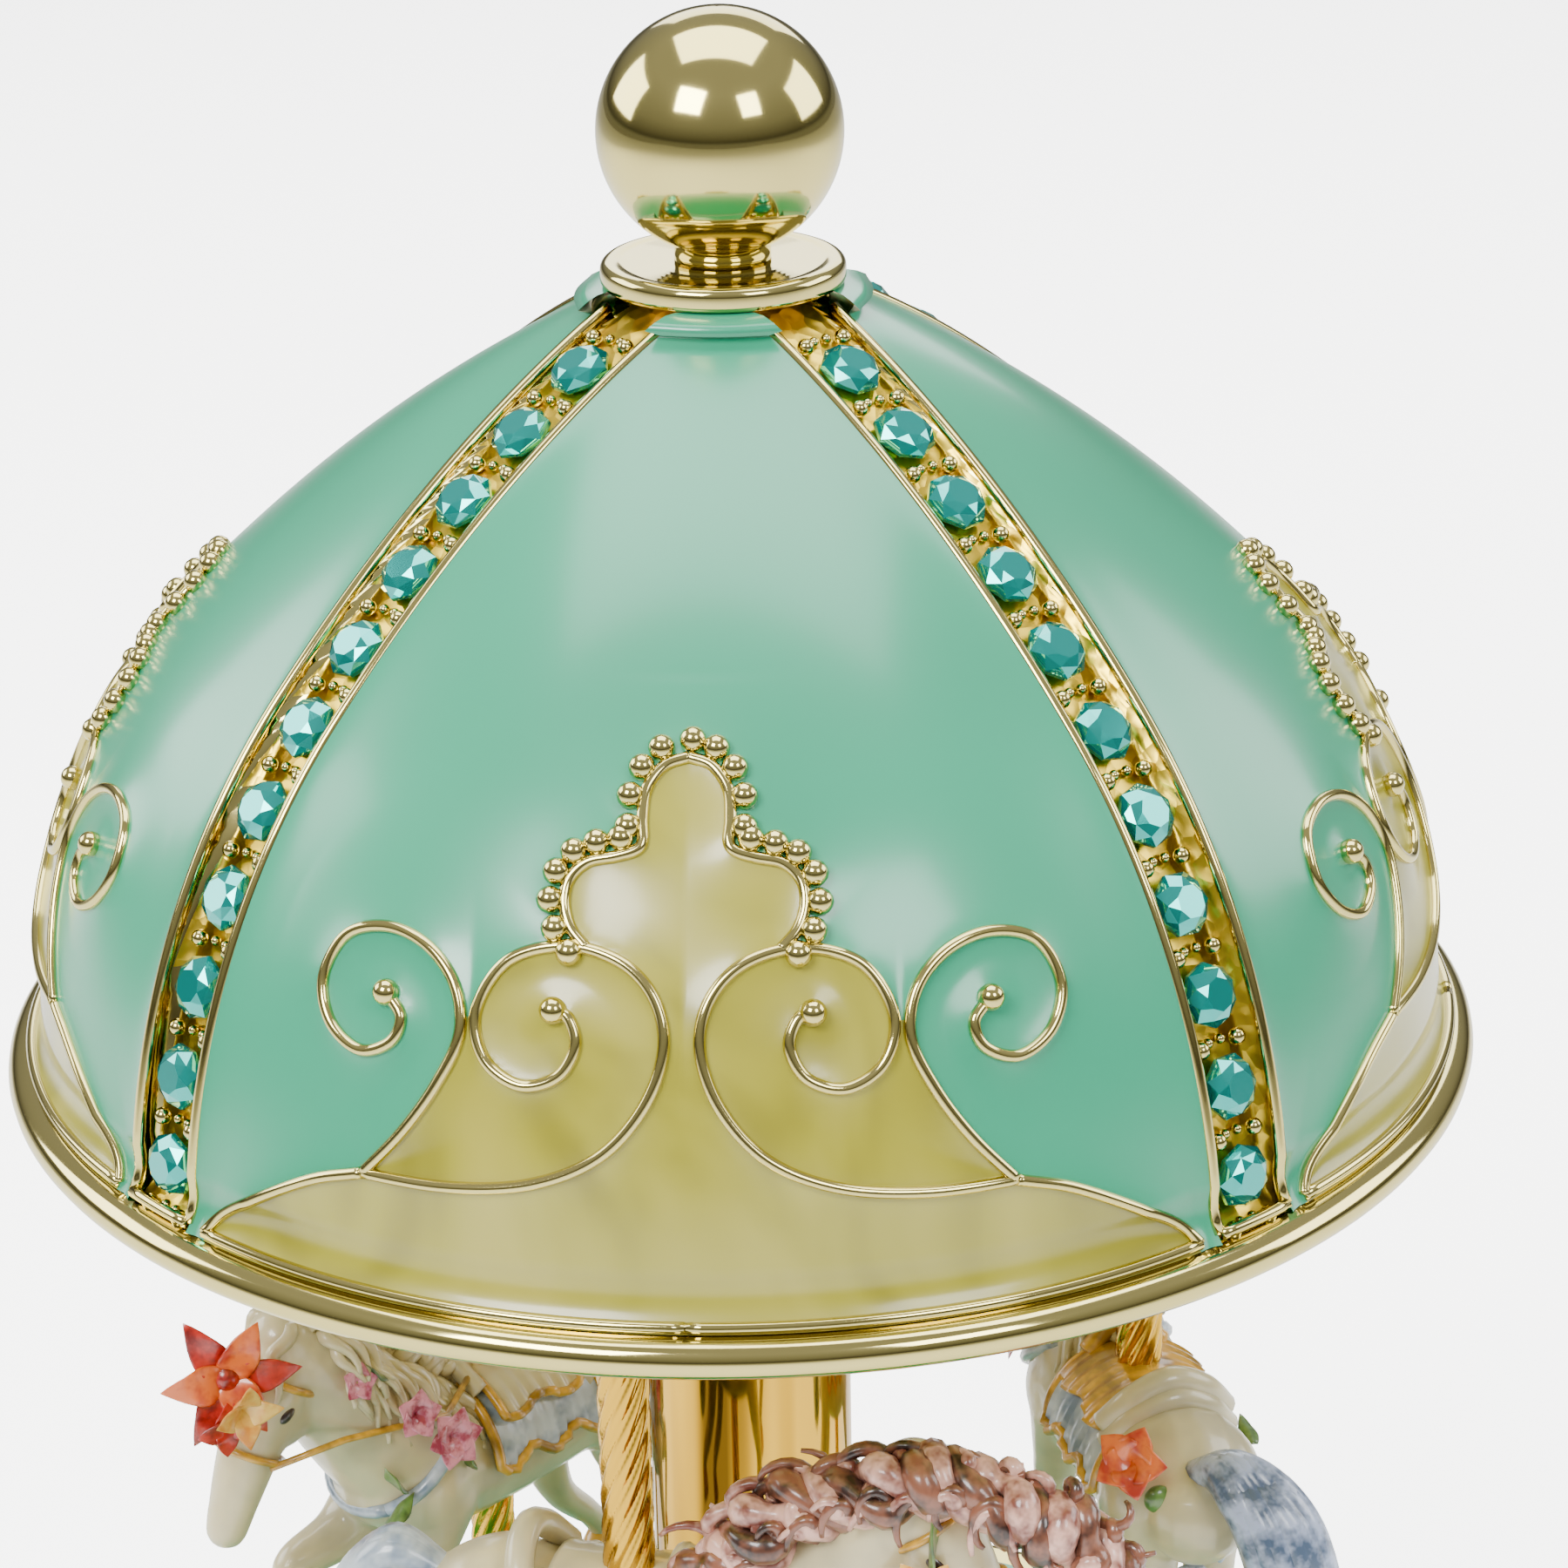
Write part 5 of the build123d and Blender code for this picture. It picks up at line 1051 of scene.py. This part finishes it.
def build_horses():
    """Three sculpted and painted horses, each fixed on its pole at its own height."""
    body_points, body_faces = sculpt("horse_clay", horse_body(), None)
    hooves = merge(horse_hooves())
    for name in POLES:
        x, y, angle = pole_place(name)
        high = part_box(f"horse_{name}")[1]
        height = high.z / MM - HORSE_EAR_TOP

        def on_pole(points):
            return turned(points, angle) + np.array((x, y, height))

        body = mesh_piece(f"horse_{name}_body", on_pole(body_points), body_faces, [finish("horse_white")])
        place_piece(body, "carousel", "painted_resin", f"horse_{name}")
        full = 1.5 if name == "right" else 1.0
        extras = {"tail": (*merge(horse_tail(TAIL_SWING[name], full)), TAIL_FINISH[name]),
                  "hooves": (*hooves, "gold_paint")}
        if name == "front":
            extras["mane"] = (*merge(curled_mane(0)), "mane_pink")
            extras["mane_dark"] = (*merge(curled_mane(1)), "mane_brown")
        else:
            extras["mane"] = (*merge(horse_mane(0.55)), "horse_white")
            extras["ears"] = (*merge(horse_ears()), "horse_white")
        for part, (points, faces, colour) in extras.items():
            piece = mesh_piece(f"horse_{name}_{part}", on_pole(points), faces, [finish(colour)])
            place_piece(piece, "carousel", "painted_resin")
        for colour, parts in horse_trim(name).items():
            points, faces = merge(parts)
            piece = mesh_piece(f"horse_{name}_{colour}", on_pole(points), faces, [finish(colour)])
            place_piece(piece, "carousel", "painted_resin")


HORSE_EAR_TOP = 14.4 + 0.25


# ---------------------------------------------------------------- base and works
NODE_FINISHES = {
    "gold": ("foot_ring", "base_housing", "platform", "column_foot", "column_capital", "canopy_ceiling"),
    "column": ("column_tube",),
    "mint": ("base_mint_panels", "platform_enamel"),
    "cream": ("base_cream_panels",),
    "felt": ("felt_ring",),
    "nylon": ("spindle_bushing", "worm_wheel"),
    "brass": ("bedplate", "cylinder_pinion", "cylinder_gear", "pin_cylinder", "fly", "winding_key", "spring_barrel",
              "barrel_cover"),
    "steel": ("floor_plate", "floor_screws", "bedplate_screws", "comb_block", "comb", "comb_screws", "inner_bridge",
              "outer_bridge", "governor_bracket", "wrap_spring", "cylinder_arbor", "cylinder_pins", "layshaft",
              "layshaft_pinion", "worm", "winding_arbor", "mainspring", "drive_spindle", "tie_rod", "pole_nuts"),
}


def finish_nodes():
    """Give every plain solid that is shown its finish."""
    for colour, names in NODE_FINISHES.items():
        for name in names:
            node = NODES[name]
            node.data.materials.clear()
            node.data.materials.append(finish(colour))


def wall_point(around, height, lift):
    """Point on the base's bulging wall, from an angle in radians."""
    half, rise = 14.5, 1.0
    bulge = (half**2 + rise**2) / (2 * rise)
    radius = 36.4 - bulge + math.sqrt(bulge**2 - (height - 19.5) ** 2) + lift
    return (radius * math.cos(around), radius * math.sin(around), height)


def build_base_trim(settings):
    """Stones, prongs and swag wires of the base, which echo the canopy."""
    stone_points, stone_faces = round_stone(settings.stone_radius)
    stones, prongs, wires = [], [], []
    for side in range(4):
        around = math.radians(45 + 90 * side)
        for number in range(5):
            height = 19.5 + (number - 2) * 4.7
            normal = (math.cos(around), math.sin(around), 0)
            stones.append((seated(stone_points, wall_point(around, height, -0.9), normal, 0.3 * number), stone_faces))
        for number in range(6):
            height = 19.5 + (number - 2.5) * 4.7
            for offset in (-0.034, 0.034):
                prongs.append(ball(wall_point(around + offset, height, -1.35), 0.45))
        middle = math.radians(90 * side - 90)
        for dip, top in ((15.5, 28.5), (24.5, 28.5)):
            swag = []
            for t in np.linspace(-1, 1, 61):
                x = 19.0 * t
                z = top - (top - dip) * (1 - t**2)
                swag.append(wall_point(middle + math.asin(x / 36.2), z, 0.05))
            wires.append(tube(swag, 0.25, 8))
        for t in np.linspace(-1, 1, 41):
            z = 28.5 - 14.3 * (1 - t**2)
            wires.append(ball(wall_point(middle + math.asin(19.3 * t / 36.2), z, 0.02), 0.42))
    crystals = mesh_piece("base_crystals", *merge(stones), [finish("crystal")], smooth=False)
    place_piece(crystals, "base", "aqua_crystal", "base_stones")
    claws = mesh_piece("base_crystal_prongs", *merge(prongs), [finish("gold")])
    place_piece(claws, "base", "gold_plate", "base_prongs")
    swags = mesh_piece("base_swags", *merge(wires), [finish("gold")])
    place_piece(swags, "base", "gold_plate", "base_scrollwork")


# ---------------------------------------------------------------- stage
def area_light(name, place, target, size, power, colour="#FFFFFF"):
    """Soft box at a place in metres, aimed at a target."""
    data = bpy.data.lights.new(name, "AREA")
    data.shape = "RECTANGLE"
    data.size, data.size_y = size
    data.energy = power
    data.color = to_linear(colour)[:3]
    lamp = bpy.data.objects.new(name, data)
    lamp.location = place
    lamp.rotation_euler = (Vector(target) - Vector(place)).to_track_quat("-Z", "Y").to_euler()
    bpy.context.scene.collection.objects.link(lamp)


TENT_TONES = ((0.0, "#A8A8A0"), (0.03, "#5E5C50"), (0.09, "#8E8C80"), (0.26, "#C4C4BC"), (0.7, "#F6F6F2"))
SOFT_BOXES = (
    ("front_left_box", (-0.20, -0.36, 0.46), (0.22, 0.20), 3.4),
    ("front_right_box", (0.26, -0.34, 0.42), (0.16, 0.18), 1.1),
    ("left_wall", (-0.55, 0.15, 0.36), (0.40, 0.30), 2.6),
    ("right_wall", (0.55, 0.15, 0.36), (0.40, 0.30), 2.2),
    ("top_box", (0.0, 0.10, 0.60), (0.50, 0.35), 3.4),
    ("back_wall", (0.0, 0.62, 0.40), (0.50, 0.26), 1.6),
)


def build_stage(settings):
    """Pale floor, soft studio light and the camera."""
    scene = bpy.context.scene
    size = settings.floor_size
    paper, tree, shader = new_material("pale_paper", "#FAFAF8", Roughness=0.9)
    shader.inputs["Emission Color"].default_value = to_linear("#FFFFFF")
    seen = add_node(tree, "ShaderNodeLightPath")
    glow = add_node(tree, "ShaderNodeMath", {0: seen.outputs["Is Camera Ray"]}, operation="MULTIPLY")
    glow.inputs[1].default_value = settings.floor_glow
    tree.links.new(glow.outputs["Value"], shader.inputs["Emission Strength"])
    floor = mesh_piece("floor", np.array([(-1, -1, 0), (1, -1, 0), (1, 1, 0), (-1, 1, 0)]) * size / MM / 2,
                       [(0, 1, 2, 3)], [paper], False)
    world = bpy.data.worlds.new("studio")
    scene.world = world
    world.use_nodes = True
    sky = world.node_tree
    direction = add_node(sky, "ShaderNodeTexCoord")
    height = add_node(sky, "ShaderNodeSeparateXYZ", {"Vector": direction.outputs["Generated"]})
    tent = add_node(sky, "ShaderNodeValToRGB", {"Fac": height.outputs["Z"]})
    ramp_colours(tent.color_ramp, TENT_TONES)
    seen = add_node(sky, "ShaderNodeLightPath")
    backdrop = add_node(sky, "ShaderNodeMix", data_type="RGBA")
    sky.links.new(seen.outputs["Is Camera Ray"], backdrop.inputs[0])
    sky.links.new(tent.outputs["Color"], backdrop.inputs[6])
    paper_light = (settings.floor_glow + 0.3) / settings.world_light     # as bright as the paper, so no horizon shows
    backdrop.inputs[7].default_value = (paper_light, paper_light, paper_light, 1.0)
    sky.links.new(backdrop.outputs[2], sky.nodes["Background"].inputs["Color"])
    sky.nodes["Background"].inputs["Strength"].default_value = settings.world_light
    middle = (0, 0, 0.11)
    for name, place, box, power in SOFT_BOXES:
        area_light(name, place, middle, box, power * settings.box_light)
    pitch, yaw, roll = settings.pitch, settings.yaw, settings.roll
    forward = Vector((math.sin(yaw) * math.cos(pitch), math.cos(yaw) * math.cos(pitch), -math.sin(pitch)))
    right = Vector((math.cos(yaw), -math.sin(yaw), 0))
    up = right.cross(forward)
    side = right * math.cos(roll) + up * math.sin(roll)
    above = up * math.cos(roll) - right * math.sin(roll)
    spin = Matrix.Rotation(settings.view_turn, 3, "Z")
    camera = bpy.data.objects.new("camera", bpy.data.cameras.new("camera"))
    axes = Matrix((spin @ side, spin @ above, -(spin @ forward))).transposed()
    place = spin @ Vector((0, -settings.camera_distance, 0)) + Vector((0, 0, RIM_Z * MM + settings.camera_rise))
    camera.matrix_world = Matrix.Translation(place) @ axes.to_4x4()
    camera.data.lens = settings.lens
    camera.data.clip_start = 0.01
    scene.collection.objects.link(camera)
    scene.camera = camera


# ---------------------------------------------------------------- settings
def colour_setting(name, description, hex_colour):
    """Colour property with an sRGB default."""
    return bpy.props.FloatVectorProperty(name=name, description=description, subtype="COLOR", size=3, min=0, max=1,
                                         default=to_linear(hex_colour)[:3])


class CarouselColours(bpy.types.PropertyGroup):
    """Colours of the finishes."""
    gold: colour_setting("Gold plate", "Pale champagne gold of the canopy's metal", "#D2C47C")
    # painted interreflection: the channels' gold is a deeper, more saturated copy of the plate's gold, standing for
    # light bounced about in the sunken channels
    channel_gold_painted_interreflection: colour_setting("Channel gold", "Deeper gold of the jewelled channels", "#DCBC3A")
    pole_gold: colour_setting("Pole gold", "Warm gold of the column and poles", "#D9AA36")
    mint: colour_setting("Mint enamel", "Main enamel", "#269C76")
    cream: colour_setting("Cream enamel", "Enamel of the scroll design", "#9C962A")
    crystal: colour_setting("Crystals", "Stones of the ribs", "#00A8A0")
    horse: colour_setting("Horses", "Body colour of the horses", "#D2C69A")


class CanopySettings(bpy.types.PropertyGroup):
    """Sizes of the canopy's trimmings, in millimetres."""
    enamel_spacing: bpy.props.FloatProperty(name="Enamel grid", description="Spacing of the enamel's mesh in mm",
                                            default=0.26, min=0.1, max=1.0)
    pool_depth: bpy.props.FloatProperty(name="Enamel depth", description="How far the enamel sinks between wires, mm",
                                        default=0.34, min=0.0, max=0.5)
    wire_radius: bpy.props.FloatProperty(name="Wire radius", description="Radius of the scroll wires in mm",
                                         default=0.29, min=0.1, max=0.5)
    rail_radius: bpy.props.FloatProperty(name="Rail radius", description="Radius of the channels' edges in mm",
                                         default=0.3, min=0.1, max=0.6)
    bead_radius: bpy.props.FloatProperty(name="Bead radius", description="Radius of the trefoil's beads in mm",
                                         default=0.62, min=0.2, max=0.8)
    stone_radius: bpy.props.FloatProperty(name="Stone radius", description="Radius of the crystals in mm",
                                          default=1.55, min=1.0, max=2.0)
    stone_pitch: bpy.props.FloatProperty(name="Stone pitch", description="Distance between crystals in mm",
                                         default=4.35, min=3.0, max=6.0)


class PoleSettings(bpy.types.PropertyGroup):
    """Twist of the poles."""
    strands: bpy.props.IntProperty(name="Strands", description="Strands of each rope", default=9, min=2, max=12)
    twist_pitch: bpy.props.FloatProperty(name="Twist pitch", description="Height of one full twist in mm",
                                         default=16.0, min=4.0, max=60.0)


class StageSettings(bpy.types.PropertyGroup):
    """Floor, light and camera."""
    floor_size: bpy.props.FloatProperty(name="Floor", description="Width of the floor", default=4.0, min=1.0,
                                        unit="LENGTH")
    floor_glow: bpy.props.FloatProperty(name="Floor glow", description="Extra brightness of the paper", default=4.0)
    world_light: bpy.props.FloatProperty(name="Room light", description="Strength of the even light", default=0.55)
    box_light: bpy.props.FloatProperty(name="Box light", description="Strength of all the soft boxes", default=1.0)
    camera_distance: bpy.props.FloatProperty(name="Camera distance", description="From the axis, level",
                                             default=0.2089, unit="LENGTH")
    camera_rise: bpy.props.FloatProperty(name="Camera height", description="Above the canopy's rim",
                                         default=0.09796, unit="LENGTH")
    lens: bpy.props.FloatProperty(name="Lens", description="Focal length in mm", default=101.99)
    pitch: bpy.props.FloatProperty(name="Look down", description="Downward tilt", subtype="ANGLE",
                                   default=0.384331)
    yaw: bpy.props.FloatProperty(name="Look aside", description="Turn to the right", subtype="ANGLE",
                                 default=0.0117375)
    roll: bpy.props.FloatProperty(name="Roll", description="Roll of the camera", subtype="ANGLE",
                                  default=-0.0198795)
    view_turn: bpy.props.FloatProperty(name="View turn", description="Angle of the camera round the music box",
                                       subtype="ANGLE", default=math.radians(4.5))


# ---------------------------------------------------------------- operators
class CAROUSEL_OT_canopy_casting(bpy.types.Operator):
    """Build the gold casting of the canopy"""
    bl_idname = "carousel.canopy_casting"
    bl_label = "Canopy casting"

    def execute(self, context):
        build_shell()
        return {"FINISHED"}


class CAROUSEL_OT_enamel(bpy.types.Operator):
    """Pour the mint and cream enamel of the canopy"""
    bl_idname = "carousel.enamel"
    bl_label = "Canopy enamel"

    def execute(self, context):
        build_enamel(context.scene.carousel_canopy)
        return {"FINISHED"}


class CAROUSEL_OT_scrollwork(bpy.types.Operator):
    """Lay the scroll wires, the channels' rails and the beads"""
    bl_idname = "carousel.scrollwork"
    bl_label = "Scrollwork and beads"

    def execute(self, context):
        build_scrollwork(context.scene.carousel_canopy)
        build_rails(context.scene.carousel_canopy)
        build_beads(context.scene.carousel_canopy)
        return {"FINISHED"}


class CAROUSEL_OT_crystals(bpy.types.Operator):
    """Set the canopy's crystals between their prongs"""
    bl_idname = "carousel.crystals"
    bl_label = "Canopy crystals"

    def execute(self, context):
        build_stones(context.scene.carousel_canopy)
        return {"FINISHED"}


class CAROUSEL_OT_finial(bpy.types.Operator):
    """Turn the collar and ball of the finial"""
    bl_idname = "carousel.finial"
    bl_label = "Finial"

    def execute(self, context):
        build_finial()
        return {"FINISHED"}


class CAROUSEL_OT_poles(bpy.types.Operator):
    """Twist the three rope poles"""
    bl_idname = "carousel.poles"
    bl_label = "Poles"

    def execute(self, context):
        build_poles(context.scene.carousel_poles)
        return {"FINISHED"}


class CAROUSEL_OT_horses(bpy.types.Operator):
    """Sculpt and paint the three horses"""
    bl_idname = "carousel.horses"
    bl_label = "Horses"

    def execute(self, context):
        build_horses()
        return {"FINISHED"}


class CAROUSEL_OT_base(bpy.types.Operator):
    """Finish the base, the turntable, the column and the works"""
    bl_idname = "carousel.base"
    bl_label = "Base and works"

    def execute(self, context):
        build_base_trim(context.scene.carousel_canopy)
        finish_nodes()
        return {"FINISHED"}


class CAROUSEL_OT_stage(bpy.types.Operator):
    """Set the floor, the lights and the camera"""
    bl_idname = "carousel.stage"
    bl_label = "Stage"

    def execute(self, context):
        build_stage(context.scene.carousel_stage)
        return {"FINISHED"}


PIECE_OPERATORS = (
    CAROUSEL_OT_canopy_casting,
    CAROUSEL_OT_enamel,
    CAROUSEL_OT_scrollwork,
    CAROUSEL_OT_crystals,
    CAROUSEL_OT_finial,
    CAROUSEL_OT_poles,
    CAROUSEL_OT_horses,
    CAROUSEL_OT_base,
    CAROUSEL_OT_stage,
)
SETTINGS = {
    "carousel_colours": CarouselColours,
    "carousel_canopy": CanopySettings,
    "carousel_poles": PoleSettings,
    "carousel_stage": StageSettings,
}


class CAROUSEL_PT_panel(bpy.types.Panel):
    """Settings and builders of the carousel music box"""
    bl_label = "Carousel music box"
    bl_idname = "CAROUSEL_PT_panel"
    bl_space_type = "VIEW_3D"
    bl_region_type = "UI"
    bl_category = "Carousel"

    def draw(self, context):
        for attribute, group in SETTINGS.items():
            box = self.layout.box()
            settings = getattr(context.scene, attribute)
            for name in group.__annotations__:
                box.prop(settings, name)
        for operator in PIECE_OPERATORS:
            self.layout.operator(operator.bl_idname)


def register():
    for cls in (*SETTINGS.values(), *PIECE_OPERATORS, CAROUSEL_PT_panel):
        bpy.utils.register_class(cls)
    for attribute, group in SETTINGS.items():
        setattr(bpy.types.Scene, attribute, bpy.props.PointerProperty(type=group))


def unregister():
    for attribute in SETTINGS:
        delattr(bpy.types.Scene, attribute)
    for cls in (CAROUSEL_PT_panel, *reversed(PIECE_OPERATORS), *reversed(list(SETTINGS.values()))):
        bpy.utils.unregister_class(cls)


def main():
    """Build every piece in order."""
    register()
    for operator in PIECE_OPERATORS:
        group, name = operator.bl_idname.split(".")
        getattr(getattr(bpy.ops, group), name)()


if __name__ == "__main__":
    main()
